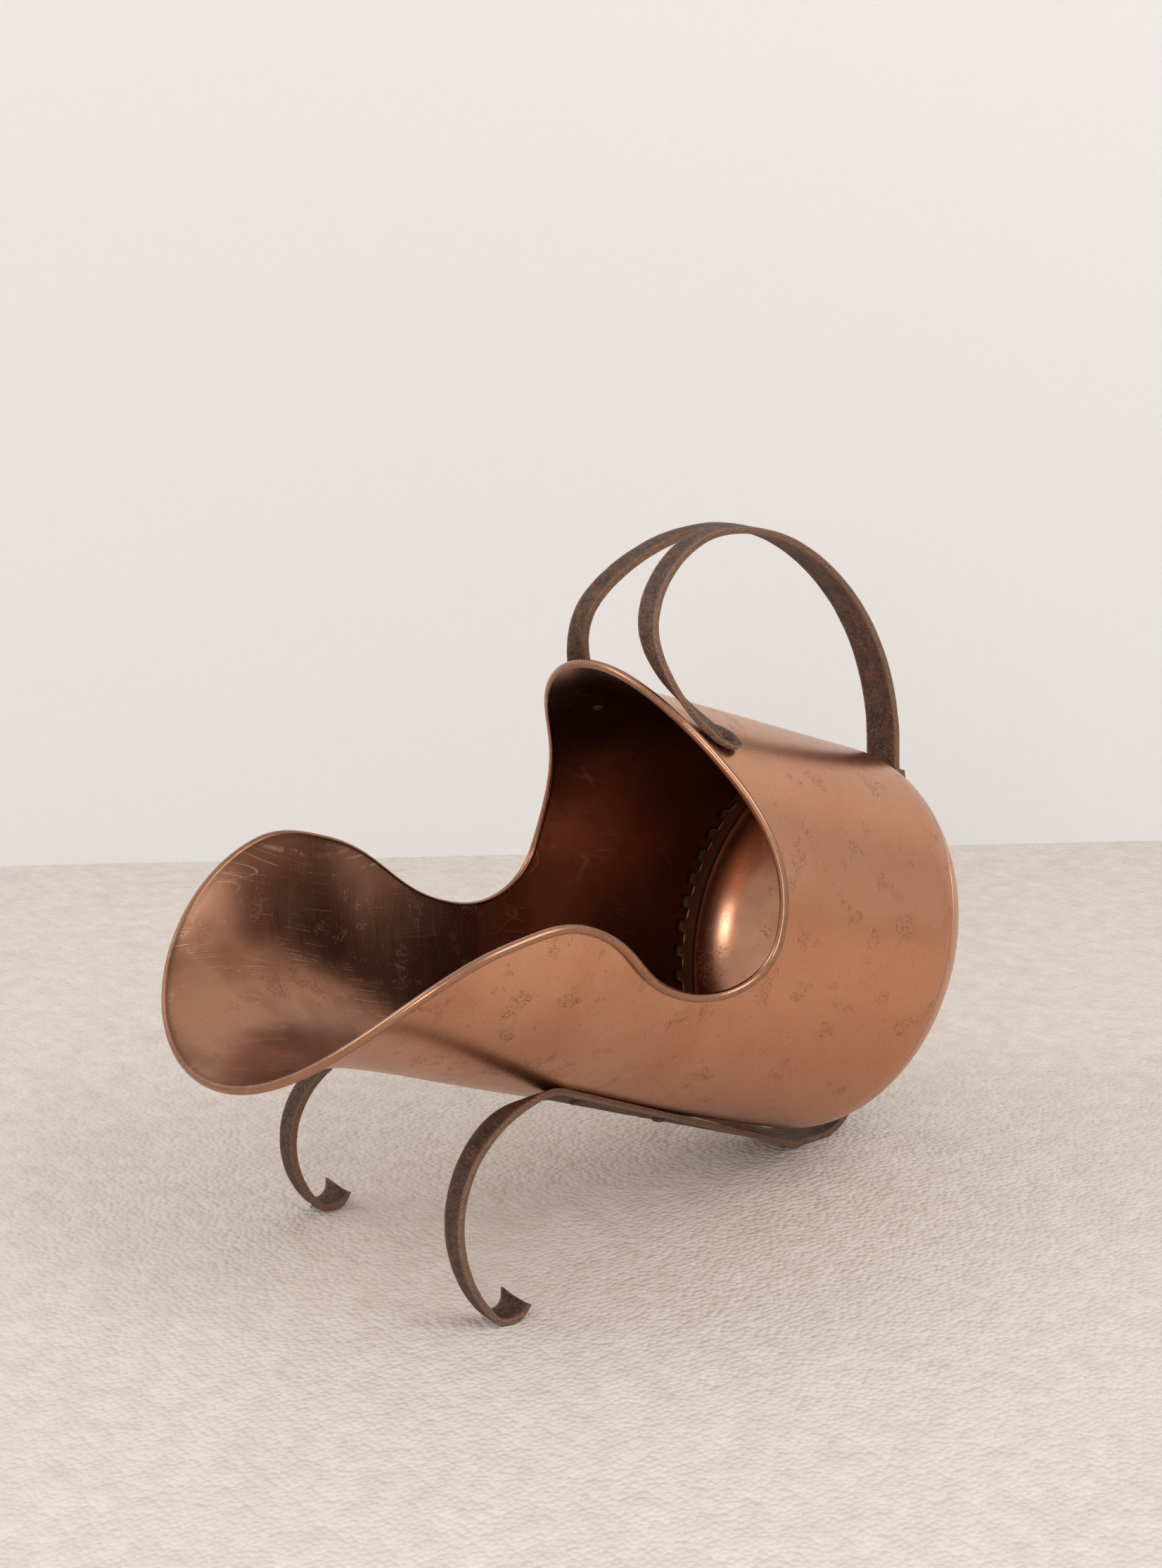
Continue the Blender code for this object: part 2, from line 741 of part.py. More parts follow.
def main():
    for leftover in list(bpy.data.objects):
        bpy.data.objects.remove(leftover)
    copper_out = material("copper_sheet", (0.48, 0.20, 0.10), 0.38)
    copper_dome = material("copper_dome", (0.36, 0.14, 0.07), 0.45)
    iron = material("forged_iron", (0.10, 0.055, 0.035), 0.72)
    leg_iron = material("cradle_iron", (0.085, 0.05, 0.035), 0.75)
    wire_iron = material("wire_iron", (0.12, 0.11, 0.10), 0.60)
    rivet_iron = material("rivet_iron", (0.07, 0.045, 0.035), 0.65)

    shell = barrel_shell(copper_out)
    rim_wire(wire_iron)
    dome = dome_end(copper_dome)
    handle_line, cradle_line = Handle(), Cradle()
    handle = handle_line.forged("handle", iron)
    cradle = cradle_line.forged("cradle", leg_iron)

    front = cradle_line.crease - cradle_rivet_inset
    handle_seats = both_sides(prong_seat(handle_line, handle_line.end - foot_rivet_inset))
    front_seats = both_sides(prong_seat(cradle_line, front))
    rear_seats = both_sides(prong_seat(cradle_line, front - cradle_rivet_pitch))
    lap_seats = [lap_seat(side * dome_rivet_pitch / 2) for side in (1, -1)]
    drilled((shell, handle), handle_seats)
    drilled((shell, cradle), front_seats + rear_seats)
    drilled((dome, handle, cradle), lap_seats)
    named = {
        "handle_rivet_right": handle_seats[0],
        "handle_rivet_left": handle_seats[1],
        "cradle_rivet_front_right": front_seats[0],
        "cradle_rivet_front_left": front_seats[1],
        "cradle_rivet_rear_right": rear_seats[0],
        "cradle_rivet_rear_left": rear_seats[1],
        "lap_rivet_upper": lap_seats[0],
        "lap_rivet_lower": lap_seats[1],
    }
    for name, (foot, axis, grip) in named.items():
        rivet(name, foot, axis, grip, rivet_iron)


main()
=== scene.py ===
# %% [markdown]
# # A copper log bucket on wrought iron straps
#
# The real bucket is a sheet of copper rolled into a barrel, with its mouth cut to one long
# wave, flared and wired. A raised copper dome closes the back. Two flat iron bars, each slit
# into a fork, make the handle and the cradle. Every step below makes one of these the way
# that its maker would: flat sheet first, then the bend, then the edge.

# %% The frame that every piece is fitted to
import bisect
import math

import bmesh
import bpy
from mathutils import Matrix, Vector, noise


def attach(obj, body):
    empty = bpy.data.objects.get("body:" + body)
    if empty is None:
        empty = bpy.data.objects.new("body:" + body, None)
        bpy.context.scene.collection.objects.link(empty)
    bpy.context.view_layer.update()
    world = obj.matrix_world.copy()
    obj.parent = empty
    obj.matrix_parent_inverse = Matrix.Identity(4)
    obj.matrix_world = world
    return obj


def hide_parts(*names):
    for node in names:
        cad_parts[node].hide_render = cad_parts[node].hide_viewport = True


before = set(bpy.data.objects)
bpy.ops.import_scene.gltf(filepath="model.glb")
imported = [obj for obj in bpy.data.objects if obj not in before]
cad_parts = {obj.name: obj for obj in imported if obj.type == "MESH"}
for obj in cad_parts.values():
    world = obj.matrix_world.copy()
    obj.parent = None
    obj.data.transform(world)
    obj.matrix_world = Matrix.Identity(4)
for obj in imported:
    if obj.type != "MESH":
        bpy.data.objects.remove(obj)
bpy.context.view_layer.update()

# %% [markdown]
# ## The barrel as a formula
#
# A rolled sheet is a flat pattern bent round an axis, so a point of it has an angle round the
# barrel and a reach towards the mouth. The barrel leans back on its cradle, which the axis
# and the rise below take in once for all. Metres, X across, -Y the mouth, +Z up.

# %% Sizes of the barrel and dome
barrel_radius = 0.150
barrel_oval_share = 1.015
barrel_opening_share = 0.0092
sheet = 0.0012
barrel_tilt = math.radians(20.4)
spring_height = 0.176
dome_depth = 0.075
dome_power = 2.3
joint_depth = 0.018
skirt_width = 0.010
cramp_width = 0.007
clearance = 0.0003
quarter = math.pi / 2

axis_way = Vector((0.0, math.cos(barrel_tilt), -math.sin(barrel_tilt)))
rise_way = Vector((0.0, math.sin(barrel_tilt), math.cos(barrel_tilt))) * barrel_oval_share
across_way = Vector((1.0, 0.0, 0.0))
spring = Vector((0.0, 0.0, spring_height))
print("barrel leans", round(math.degrees(barrel_tilt), 1), "degrees")

# %% Sizes of the mouth
tongue_reach = 0.265
waist_reach = 0.162
waist_angle = math.radians(93)
dip_reach = 0.228
dip_angle = math.radians(72.3)
ear_reach = 0.351
ear_angle = math.radians(84.7)
lip_reach = 0.502
ear_lean = math.radians(2.0)
ear_lean_fade = 0.055
tongue_lean = math.radians(3.0)
mouth_flare = 0.014
mouth_flare_start = 0.205
mouth_flare_length = 0.145
lip_flare = 0.023
lip_flare_start = 0.412
belly_sag = 0.0052
sag_fade_start = 0.240
sag_fade_length = 0.160
wire_radius = 0.0018
curl_angle = math.radians(292)
print("lip to tongue", lip_reach - tongue_reach)


# %% The plain barrel and its flare
def eased(share):
    """A share from 0 to 1 with level ends."""
    share = min(max(share, 0.0), 1.0)
    return share * share * (3 - 2 * share)


def plain_radius(reach):
    """Half the barrel's width where it has no flare."""
    return barrel_radius + barrel_opening_share * reach


def belly(angle):
    """How far the underside hangs below a true round at that angle."""
    return belly_sag * max(math.cos(angle), 0.0) ** 2


def barrel_flare(angle, reach):
    """How far the sheet stands outside the plain barrel."""
    sag = belly(angle) * (1 - eased((reach - sag_fade_start) / sag_fade_length))
    side = mouth_flare * eased((reach - mouth_flare_start) / mouth_flare_length)
    if math.cos(angle) > 0:
        side *= math.sin(angle) ** 2
    past = max(reach - lip_flare_start, 0.0) / (lip_reach - lip_flare_start)
    return side + sag + lip_flare * past**2 * max(math.cos(angle), 0.0)


def on_barrel(angle, reach, lift=0.0):
    """A point of the barrel's outer face. The angle runs from the bottom, + on the +X side."""
    radius = plain_radius(reach) + barrel_flare(abs(angle), reach) + lift
    round_it = across_way * (radius * math.sin(angle)) - rise_way * (radius * math.cos(angle))
    return spring - axis_way * reach + round_it


def on_dome(angle, polar, lift=0.0):
    """A point of the dome, with polar 0 at the spring circle and 90 degrees at its crown."""
    along_share = math.sin(polar) ** (2 / dome_power)
    round_share = max(math.cos(polar), 0.0) ** (2 / dome_power)
    slope = Vector((
        along_share ** (dome_power - 1) / dome_depth,
        round_share ** (dome_power - 1) / barrel_radius,
    )).normalized()
    along = dome_depth * along_share + lift * slope.x
    radius = (barrel_radius + belly(angle)) * round_share + lift * slope.y
    round_it = across_way * (radius * math.sin(angle)) - rise_way * (radius * math.cos(angle))
    return spring + axis_way * along + round_it


def dome_polar(depth):
    """The polar angle of the dome's section at a depth behind the spring circle."""
    return math.asin((depth / dome_depth) ** (dome_power / 2))


print("lip stands out", round(barrel_flare(0.0, lip_reach) * 1000, 1), "mm")

# %% [markdown]
# ## The wave of the mouth
#
# The maker draws the mouth on the flat sheet before rolling it: a tongue at the top, a deep
# waist, an ear that flicks out, and the long lip. Four cubic curves join the turning points.
# Each one leaves its turning point straight round the barrel or straight along it, which is
# what makes the wave flow without a corner.

# %% The outline on the flat sheet
outline_steps = (66, 34, 44, 76)
root_angle_shares = (1.0, 0.6, 0.36, 0.22, 0.0)
round_handle_share = 0.56
reverse_handle_share = 0.46


def bezier(start, start_pull, end_pull, end, count):
    """Points of a cubic curve, without the last one."""
    points = []
    for i in range(count):
        t = i / count
        weights = ((1 - t) ** 3, 3 * t * (1 - t) ** 2, 3 * t * t * (1 - t), t**3)
        corners = (start, start_pull, end_pull, end)
        points.append(sum((w * Vector(c) for w, c in zip(weights, corners)), Vector((0.0, 0.0))))
    return points


def mouth_half():
    """The mouth from the tongue to the lip, as (root angle, angle, reach) on the +X side."""
    turns = (
        (math.pi, tongue_reach, "round"),
        (waist_angle, waist_reach, "round"),
        (dip_angle, dip_reach, "along"),
        (ear_angle, ear_reach, "along"),
        (0.0, lip_reach, "round"),
    )
    columns = []
    for i, count in enumerate(outline_steps):
        (angle, reach, way), (next_angle, next_reach, next_way) = turns[i], turns[i + 1]
        share = reverse_handle_share if way == next_way else round_handle_share
        pull = Vector((angle, reach))
        end_pull = Vector((next_angle, next_reach))
        step = (next_angle - angle, next_reach - reach)
        pull[way == "along"] += share * step[way == "along"]
        end_pull[next_way == "along"] -= share * step[next_way == "along"]
        curve = bezier((angle, reach), pull, end_pull, (next_angle, next_reach), count)
        roots = root_angle_shares[i], root_angle_shares[i + 1]
        for k, point in enumerate(curve):
            root = math.pi * (roots[0] + (roots[1] - roots[0]) * k / count)
            columns.append((root, point.x, point.y))
    return columns


def leaned(root, angle, reach):
    """Turns the mouth a little round the barrel: its +X ear stands higher, the other lower."""
    if abs(root) > math.pi * root_angle_shares[1]:
        share = (reach - waist_reach) / (tongue_reach - waist_reach)
        return root, angle + tongue_lean * eased(share), reach
    share = min(max((reach - waist_reach) / (ear_reach - waist_reach), 0.0), 1.0)
    past_ear = (reach - ear_reach) / ear_lean_fade
    return root, angle + ear_lean * math.sin(quarter * share) * (1 - eased(past_ear)), reach


right_half = mouth_half()
mouth = right_half + [(0.0, 0.0, lip_reach)]
mouth += [(-root, -angle, reach) for root, angle, reach in reversed(right_half[1:])]
mouth = [leaned(*corner) for corner in mouth]
print("mouth outline of", len(mouth), "points")


# %% The rim's directions
def rim_frames():
    """For each point of the mouth: its place, the way off the edge and the outward normal."""
    points = [on_barrel(angle, reach) for _, angle, reach in mouth]
    frames = []
    for i, (_, angle, reach) in enumerate(mouth):
        before, after = points[i - 1], points[(i + 1) % len(points)]
        along_rim = (after - before).normalized()
        round_barrel = on_barrel(angle + sheet / barrel_radius, reach) - points[i]
        along_barrel = on_barrel(angle, reach + sheet) - points[i]
        normal = round_barrel.cross(along_barrel).normalized()
        frames.append((points[i], along_rim.cross(normal).normalized(), normal))
    return frames


rim = rim_frames()
rim_length = sum((a[0] - b[0]).length for a, b in zip(rim, rim[1:] + rim[:1]))
print("rim wire length", round(rim_length, 3), "m")

# %% [markdown]
# ## From flat sheet to piece
#
# A grid is Blender's flat sheet. Every rolled or forged piece here starts as one grid whose
# corners are then moved on to the formula, so the mesh has even rows along the work, as the
# metal has. A seam is closed by merging the two edges that meet.

# %% Sheet, finished object and hammer marks
merge_distance = 0.00002
sheet_edge_angle = 50
bar_edge_angle = 35
round_edge_angle = 40


def flat_sheet(columns, rows):
    """A grid of that many faces each way, and each vertex's (column, row)."""
    bm = bmesh.new()
    bm.verts.layers.float.new("rubbed")
    bm.verts.layers.float.new("shade_and_flux")
    bm.verts.layers.float.new("crease")
    bmesh.ops.create_grid(bm, x_segments=columns, y_segments=rows, size=0.5)
    low_x, low_y = min(v.co.x for v in bm.verts), min(v.co.y for v in bm.verts)
    wide, long = -2 * low_x, -2 * low_y
    spots = {
        v: (round((v.co.x - low_x) / wide * columns), round((v.co.y - low_y) / long * rows))
        for v in bm.verts
    }
    return bm, spots


def placed(name, bm, finishes):
    """Turns the bmesh into an object of the scene."""
    mesh = bpy.data.meshes.new(name)
    bm.to_mesh(mesh)
    bm.free()
    for finish in finishes:
        mesh.materials.append(finish)
    made = bpy.data.objects.new(name, mesh)
    bpy.context.scene.collection.objects.link(made)
    return made


def finished(name, bm, finishes, edge_angle):
    """The same for a piece of the bucket, which is smooth except where it has an edge."""
    made = placed(name, bm, finishes)
    made.data.shade_smooth()
    made.data.set_sharp_from_angle(angle=math.radians(edge_angle))
    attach(made, "root")
    return made


def merged(bm):
    """Joins the corners that meet, and then turns the faces outwards."""
    bmesh.ops.remove_doubles(bm, verts=bm.verts, dist=merge_distance)
    bmesh.ops.recalc_face_normals(bm, faces=bm.faces)


def turned_out(bm, way):
    """Turns an open sheet's faces so that the one farthest that way also looks that way."""
    farthest = max(bm.faces, key=lambda f: f.calc_center_median().dot(way))
    if farthest.normal.dot(way) < 0:
        bmesh.ops.reverse_faces(bm, faces=bm.faces)


def spun(bm, profile, axis, steps):
    """Spins a row of corners a full turn about an axis through the origin."""
    edges = [bm.edges.new(pair) for pair in zip(profile, profile[1:])]
    middle = (0.0, 0.0, 0.0)
    whole = {"angle": math.tau, "use_merge": True}
    bmesh.ops.spin(bm, geom=profile + edges, cent=middle, axis=axis, steps=steps, **whole)
    bmesh.ops.remove_doubles(bm, verts=bm.verts, dist=merge_distance)


def thickened(piece):
    """Gives a sheet its thickness on the inner side, with the inner finish there."""
    solid = piece.modifiers.new("Sheet thickness", "SOLIDIFY")
    solid.thickness = sheet
    solid.offset = -1.0
    solid.use_even_offset = True
    solid.material_offset = 1
    solid.material_offset_rim = 1


def hammered(point, size, depth, seed=0.0):
    """A smooth random height for marks of that size, at most about depth each way."""
    return depth * noise.noise(point / size + Vector((seed, seed, seed)))


print("corners within", merge_distance * 1000, "mm of each other are merged")

# %% [markdown]
# ## Node helper and colours
#
# Colours are written as sRGB hex, as a paint chart gives them, and one function turns them
# to the linear values that Blender works with. One more adds a node with its settings and
# what feeds it.

# %% Colour and node functions
def linear(hex_colour):
    """The linear RGBA of an sRGB hex colour."""
    channels = [int(hex_colour[i : i + 2], 16) / 255 for i in (1, 3, 5)]
    low = 0.04045
    return (*(c / 12.92 if c <= low else ((c + 0.055) / 1.055) ** 2.4 for c in channels), 1.0)


def add(finish, kind, inputs, out=None, **settings):
    """Adds a node and gives its output socket: the named one, or else the first in use.

    Inputs are values, or other nodes' sockets, by socket name or number.
    """
    node = finish.node_tree.nodes.new("ShaderNode" + kind)
    for name, value in settings.items():
        setattr(node, name, value)
    for name, value in inputs.items():
        if isinstance(value, bpy.types.NodeSocket):
            finish.node_tree.links.new(value, node.inputs[name])
        else:
            node.inputs[name].default_value = value
    return node.outputs[out] if out else next(socket for socket in node.outputs if socket.enabled)


def blank(name):
    """A new material with its shader, and its coordinates in metres along the barrel."""
    finish = bpy.data.materials.new(name)
    finish.use_nodes = True
    shader = finish.node_tree.nodes["Principled BSDF"]
    place = add(finish, "TexCoord", {}, "Object")
    turned = add(finish, "Mapping", {"Vector": place, "Rotation": (barrel_tilt, 0.0, 0.0)})
    return finish, shader, turned


def layered(finish, colour, layers):
    """Lays colours over one another, each by its own 0 to 1 mask."""
    for mask, shade in layers:
        colour = add(finish, "Mix", {0: mask, 6: colour, 7: linear(shade)}, data_type="RGBA")
    return colour


def feed(finish, shader, **sockets):
    """Links sockets to the shader's own inputs, named with _ for a space."""
    for name, socket in sockets.items():
        finish.node_tree.links.new(socket, shader.inputs[name.replace("_", " ")])


print("middle grey is", round(linear("#808080")[0], 3))

# %% [markdown]
# ## Copper
#
# The sheet is rolled copper, planished and polished by hand, then dulled by years of
# handling. It reads as a warm satin metal with a soft streak along every bend. Damp has
# eaten small crooked marks into it, in clusters a finger wide, each polish has left
# hairlines round the barrel, and logs have scratched it inside.

# %% Copper's colours and the sizes of its marks
copper_bright = "#D29A79"
copper_warm = "#C78C6B"
copper_dull = "#AC7C62"
copper_brown = "#8A5D47"
# The tarnish of the pits, also used for the painted shade in the fold by the rim.
copper_tarnish_and_shade = "#5E4232"
# The dark brown of the painted shade deep inside the barrel.
copper_deep_shade = "#6A5148"
copper_flux = "#3E3029"
copper_scratch = "#D6AC92"
copper_rubbed = "#A87C62"
hairline_size = 0.0009
hairline_draw = 0.03
patch_size = 0.070
mark_size = 0.0040
cluster_size = 0.030
speck_size = 0.0016
scratch_gap = 0.0075
scratch_draw = 0.05
scratch_area = 0.036
scratch_turns = (
    (0.50, 0.30, 0.85),
    (1.30, 0.78, 2.21),
    (2.20, 1.32, 3.74),
    (2.90, 1.74, 4.93),
)
pit_roughness = 0.25
hairline_height = 0.03
roughness_below, roughness_above = 0.04, 0.06
print("pits of", mark_size * 1000, "mm in clusters of", cluster_size * 1000, "mm")


# %% Copper's pits and scratches
def contour(finish, height, near, far):
    """1 where a noise is within near of its middle value, and 0 beyond far: thin lines."""
    middle = add(finish, "Math", {0: height, 1: 0.5}, operation="SUBTRACT")
    off = add(finish, "Math", {0: middle}, operation="ABSOLUTE")
    span = {"From Min": near, "From Max": far, "To Min": 1.0, "To Max": 0.0}
    return add(finish, "MapRange", {"Value": off} | span)


def pits(finish, place, blotch):
    """A mask of crooked lines in clusters, and specks: the edge of a blotchy noise is crooked."""
    line = contour(finish, blotch, 0.007, 0.019)
    spread = {"Scale": 1 / cluster_size, "Detail": 2.0, "Roughness": 0.7}
    groups = add(finish, "TexNoise", {"Vector": place} | spread)
    inside = add(finish, "MapRange", {"Value": groups, "From Min": 0.575, "From Max": 0.625})
    marks = add(finish, "Math", {0: line, 1: inside}, operation="MULTIPLY")
    specks = add(finish, "TexNoise", {"Vector": place, "Scale": 1 / speck_size, "Detail": 1.0})
    speck = add(finish, "MapRange", {"Value": specks, "From Min": 0.73, "From Max": 0.78})
    return add(finish, "Math", {0: marks, 1: speck}, operation="MAXIMUM")


def scratches(finish, place, most):
    """A mask of long thin lines: a noise's contours, drawn out once in each direction."""
    cuts = 0.0
    for turn in scratch_turns:
        ways = {"Rotation": turn, "Scale": (1.0, scratch_draw, scratch_draw)}
        drawn = add(finish, "Mapping", {"Vector": place} | ways)
        wander = add(finish, "TexNoise", {"Vector": drawn, "Scale": 1 / scratch_gap, "Detail": 0.0})
        line = contour(finish, wander, 0.002, 0.008)
        cuts = add(finish, "Math", {0: cuts, 1: line}, operation="MAXIMUM")
    spread = {"Scale": 1 / scratch_area, "Detail": 4.0, "Roughness": 0.7}
    where = add(finish, "TexNoise", {"Vector": place} | spread)
    span = {"From Min": 0.50, "From Max": 0.62, "To Max": most}
    area = add(finish, "MapRange", {"Value": where} | span)
    return add(finish, "Math", {0: cuts, 1: area}, operation="MULTIPLY")


print("scratches run in", len(scratch_turns), "directions")


# %% Copper
def copper(name, light, deep, shade_and_flux_colour, roughness, pitted, scratched, shade_and_flux_rough):
    """Satin copper of two tones, with painted shade deep in the barrel, dark flux in the dome's
    joint, hairlines round the barrel, pits, scratches, and painted shade with some dirt in the fold
    by the rim.
    """
    finish, shader, place = blank(name)
    patches = add(finish, "TexNoise", {"Vector": place, "Scale": 1 / patch_size, "Detail": 3.0})
    span = {"Value": patches, "From Min": 0.35, "From Max": 0.66}
    share = add(finish, "MapRange", span, interpolation_type="SMOOTHSTEP")
    # Painted shade darkens the barrel the deeper it lies inside, most at its back, and dark flux
    # stays in the dome's joint.
    shade_and_flux = add(finish, "Attribute", {}, "Fac", attribute_name="shade_and_flux")
    unshaded_and_clean = add(finish, "Math", {0: 1.0, 1: shade_and_flux}, operation="SUBTRACT")
    # The hairlines run round the barrel, so they are close together along it only.
    drawn = add(finish, "Mapping", {"Vector": place, "Scale": (hairline_draw, 1.0, hairline_draw)})
    hairs = add(finish, "TexNoise", {"Vector": drawn, "Scale": 1 / hairline_size, "Detail": 2.0})
    blotchy = {"Scale": 1 / mark_size, "Detail": 4.0, "Roughness": 0.62}
    blotch = add(finish, "TexNoise", {"Vector": place} | blotchy)
    pit = add(finish, "Math", {0: pits(finish, place, blotch), 1: pitted}, operation="MULTIPLY")
    scratch = scratches(finish, place, scratched)
    cut = add(finish, "Math", {0: scratch, 1: unshaded_and_clean}, operation="MULTIPLY")
    # The fold beside the wired edge gets painted shade with some dirt in it, and the edge itself is
    # rubbed.
    crease = add(finish, "Attribute", {}, "Fac", attribute_name="crease")
    rubbed = add(finish, "Attribute", {}, "Fac", attribute_name="rubbed")
    span = {"From Min": 0.35, "From Max": 0.55, "To Min": 0.35}
    patchy = add(finish, "MapRange", {"Value": blotch} | span)
    worn = add(finish, "Math", {0: rubbed, 1: patchy}, operation="MULTIPLY")
    layers = (
        (share, deep),
        (shade_and_flux, shade_and_flux_colour),
        (pit, copper_tarnish_and_shade),
        (cut, copper_scratch),
        (crease, copper_tarnish_and_shade),
        (worn, copper_rubbed),
    )
    colour = layered(finish, linear(light), layers)
    span = {"To Min": roughness - roughness_below, "To Max": roughness + roughness_above}
    rough = add(finish, "MapRange", {"Value": hairs} | span)
    rough = add(finish, "Math", {0: shade_and_flux, 1: shade_and_flux_rough, 2: rough}, operation="MULTIPLY_ADD")
    rough = add(finish, "Math", {0: pit, 1: pit_roughness, 2: rough}, operation="MULTIPLY_ADD")
    sunk = add(finish, "Math", {0: pit, 1: cut}, operation="MAXIMUM")
    level = add(finish, "Math", {0: sunk, 1: -1.0}, operation="MULTIPLY")
    height = add(finish, "Math", {0: hairs, 1: hairline_height, 2: level}, operation="MULTIPLY_ADD")
    bump = add(finish, "Bump", {"Height": height, "Strength": 0.35, "Distance": 0.00012})
    shader.inputs["Metallic"].default_value = 1.0
    feed(finish, shader, Base_Color=colour, Roughness=rough, Normal=bump)
    return finish


# Outside, the painted shade deep in the barrel only tones the copper to its warmer shade; inside it
# goes to a dark brown.
sheet_outside = copper(
    "rolled_copper_outside", copper_bright, copper_warm, copper_warm,
    roughness=0.27, pitted=0.90, scratched=0.06, shade_and_flux_rough=0.0,
)
sheet_inside = copper(
    "rolled_copper_inside", copper_dull, copper_brown, copper_deep_shade,
    roughness=0.24, pitted=0.70, scratched=0.62, shade_and_flux_rough=0.10,
)
dome_outside = copper(
    "raised_copper_outside", copper_bright, copper_warm, copper_warm,
    roughness=0.28, pitted=0.70, scratched=0.06, shade_and_flux_rough=0.0,
)
dome_inside = copper(
    "raised_copper_inside", copper_bright, copper_dull, copper_flux,
    roughness=0.22, pitted=0.60, scratched=0.50, shade_and_flux_rough=0.45,
)
copper_finishes = sheet_outside, sheet_inside, dome_outside, dome_inside
print("copper finishes:", [finish.name for finish in copper_finishes])

# %% [markdown]
# ## Iron
#
# The straps are wrought iron bar, forged hot and left black. The scale has turned to a dry
# brown rust with blue-grey flakes still in it, pitted all over, and hands and fire irons
# keep the corners a little brighter.

# %% Iron's colours and grain
rust_dark, rust_brown, rust_warm = "#3B2A23", "#6E4C38", "#946A4C"
leg_dark, leg_brown = "#33261F", "#5E4233"
wire_dark, wire_grey = "#4A4440", "#6B625C"
rivet_dark, rivet_brown = "#2E2621", "#54403A"
scale_grey = "#2F3036"
iron_rubbed = "#A07C62"
rust_patch = 0.011
flake_size = 0.0034
grain_size = 0.0016
grain_height = 0.9


def iron(name, dark, brown, flaked, metal):
    """Rusted forged iron: brown patches, blue-grey flakes, pits and brighter corners."""
    finish, shader, place = blank(name)
    rusting = {"Scale": 1 / rust_patch, "Detail": 6.0, "Roughness": 0.65}
    patches = add(finish, "TexNoise", {"Vector": place} | rusting)
    share = add(finish, "MapRange", {"Value": patches, "From Min": 0.36, "From Max": 0.64})
    grainy = {"Scale": 1 / grain_size, "Detail": 5.0, "Roughness": 0.7}
    grain = add(finish, "TexNoise", {"Vector": place} | grainy)
    warm = add(finish, "MapRange", {"Value": grain, "From Min": 0.50, "From Max": 0.70})
    flaking = {"Scale": 1 / flake_size, "Detail": 3.0, "Distortion": 0.6}
    flakes = add(finish, "TexNoise", {"Vector": place} | flaking)
    span = {"From Min": 0.53, "From Max": 0.59, "To Max": flaked}
    flake = add(finish, "MapRange", {"Value": flakes} | span)
    rubbed = add(finish, "Attribute", {}, "Fac", attribute_name="rubbed")
    worn = add(finish, "Math", {0: rubbed, 1: grain}, operation="MULTIPLY")
    layers = ((share, brown), (warm, rust_warm), (flake, scale_grey), (worn, iron_rubbed))
    colour = layered(finish, linear(dark), layers)
    rough = add(finish, "MapRange", {"Value": grain, "To Min": 0.48, "To Max": 0.82})
    holes = add(finish, "TexVoronoi", {"Vector": place, "Scale": 1 / flake_size, "Randomness": 1.0})
    hole = add(finish, "MapRange", {"Value": holes, "From Max": 0.42})
    height = add(finish, "Math", {0: grain, 1: grain_height, 2: hole}, operation="MULTIPLY_ADD")
    bump = add(finish, "Bump", {"Height": height, "Strength": 0.8, "Distance": 0.0009})
    shader.inputs["Metallic"].default_value = metal
    feed(finish, shader, Base_Color=colour, Roughness=rough, Normal=bump)
    return finish


handle_iron = iron("rusted_handle_bar", rust_dark, rust_brown, flaked=0.75, metal=0.35)
leg_iron = iron("rusted_cradle_bar", leg_dark, leg_brown, flaked=0.85, metal=0.35)
wire_iron = iron("grey_iron_wire", wire_dark, wire_grey, flaked=0.5, metal=0.6)
rivet_iron = iron("dark_iron_rivet", rivet_dark, rivet_brown, flaked=0.7, metal=0.4)
iron_finishes = handle_iron, leg_iron, wire_iron, rivet_iron
print("iron finishes:", [finish.name for finish in iron_finishes])

# %% [markdown]
# ## The barrel sheet
#
# One grid makes the whole sheet: each column runs from the back, where the barrel is necked
# in over the dome, to its own point of the mouth, and then round the wire in a small curl.
# The thickness goes on the inner side afterwards, as the real sheet has it. A slow random
# height gives the small flats that hand hammering leaves, so that reflections waver.

# %% Rolling, flaring and wiring the sheet
neck_rows = 6
barrel_rows = 72
curl_rows = 18
ring_crowding_power = 1.4
column_sweep_power = 5
planish_size = 0.055
planish_depth = 0.00035
# How far in from the mouth the painted shade reaches, and how dark it is at the back.
deep_shade_reach = 0.340
most_deep_shade = 0.80
# How many rows beside the curl get painted shade with some dirt, and how dark it is.
crease_rows = 2
most_crease_shade = 0.7
joint_polar = dome_polar(joint_depth)


def on_sheet(column, row):
    """Where a corner of the flat sheet ends up, how far it is rubbed bright, and how much painted
    shade it gets deep inside.
    """
    root, angle, reach = mouth[column % len(mouth)]
    if row < neck_rows:
        return on_dome(root, joint_polar * (1 - row / neck_rows)), 0.0, most_deep_shade
    row -= neck_rows
    if row <= barrel_rows:
        share = 1 - (1 - row / barrel_rows) ** ring_crowding_power
        swept = root + (angle - root) * share**column_sweep_power
        flat = on_barrel(swept, reach * share)
        lift = hammered(flat, planish_size, planish_depth) * math.sin(math.pi * min(share, 1.0))
        # Painted shade: the sheet is darkened the deeper it lies inside the barrel.
        deep_shade = most_deep_shade * eased(1 - reach * share / deep_shade_reach)
        return on_barrel(swept, reach * share, lift), 0.0, deep_shade
    turn = curl_angle * (row - barrel_rows) / curl_rows
    point, edge, normal = rim[column % len(mouth)]
    curl = wire_radius + clearance
    off, out = curl * math.sin(turn), curl * (1 - math.cos(turn))
    return point + edge * off + normal * out, eased(turn / quarter), 0.0


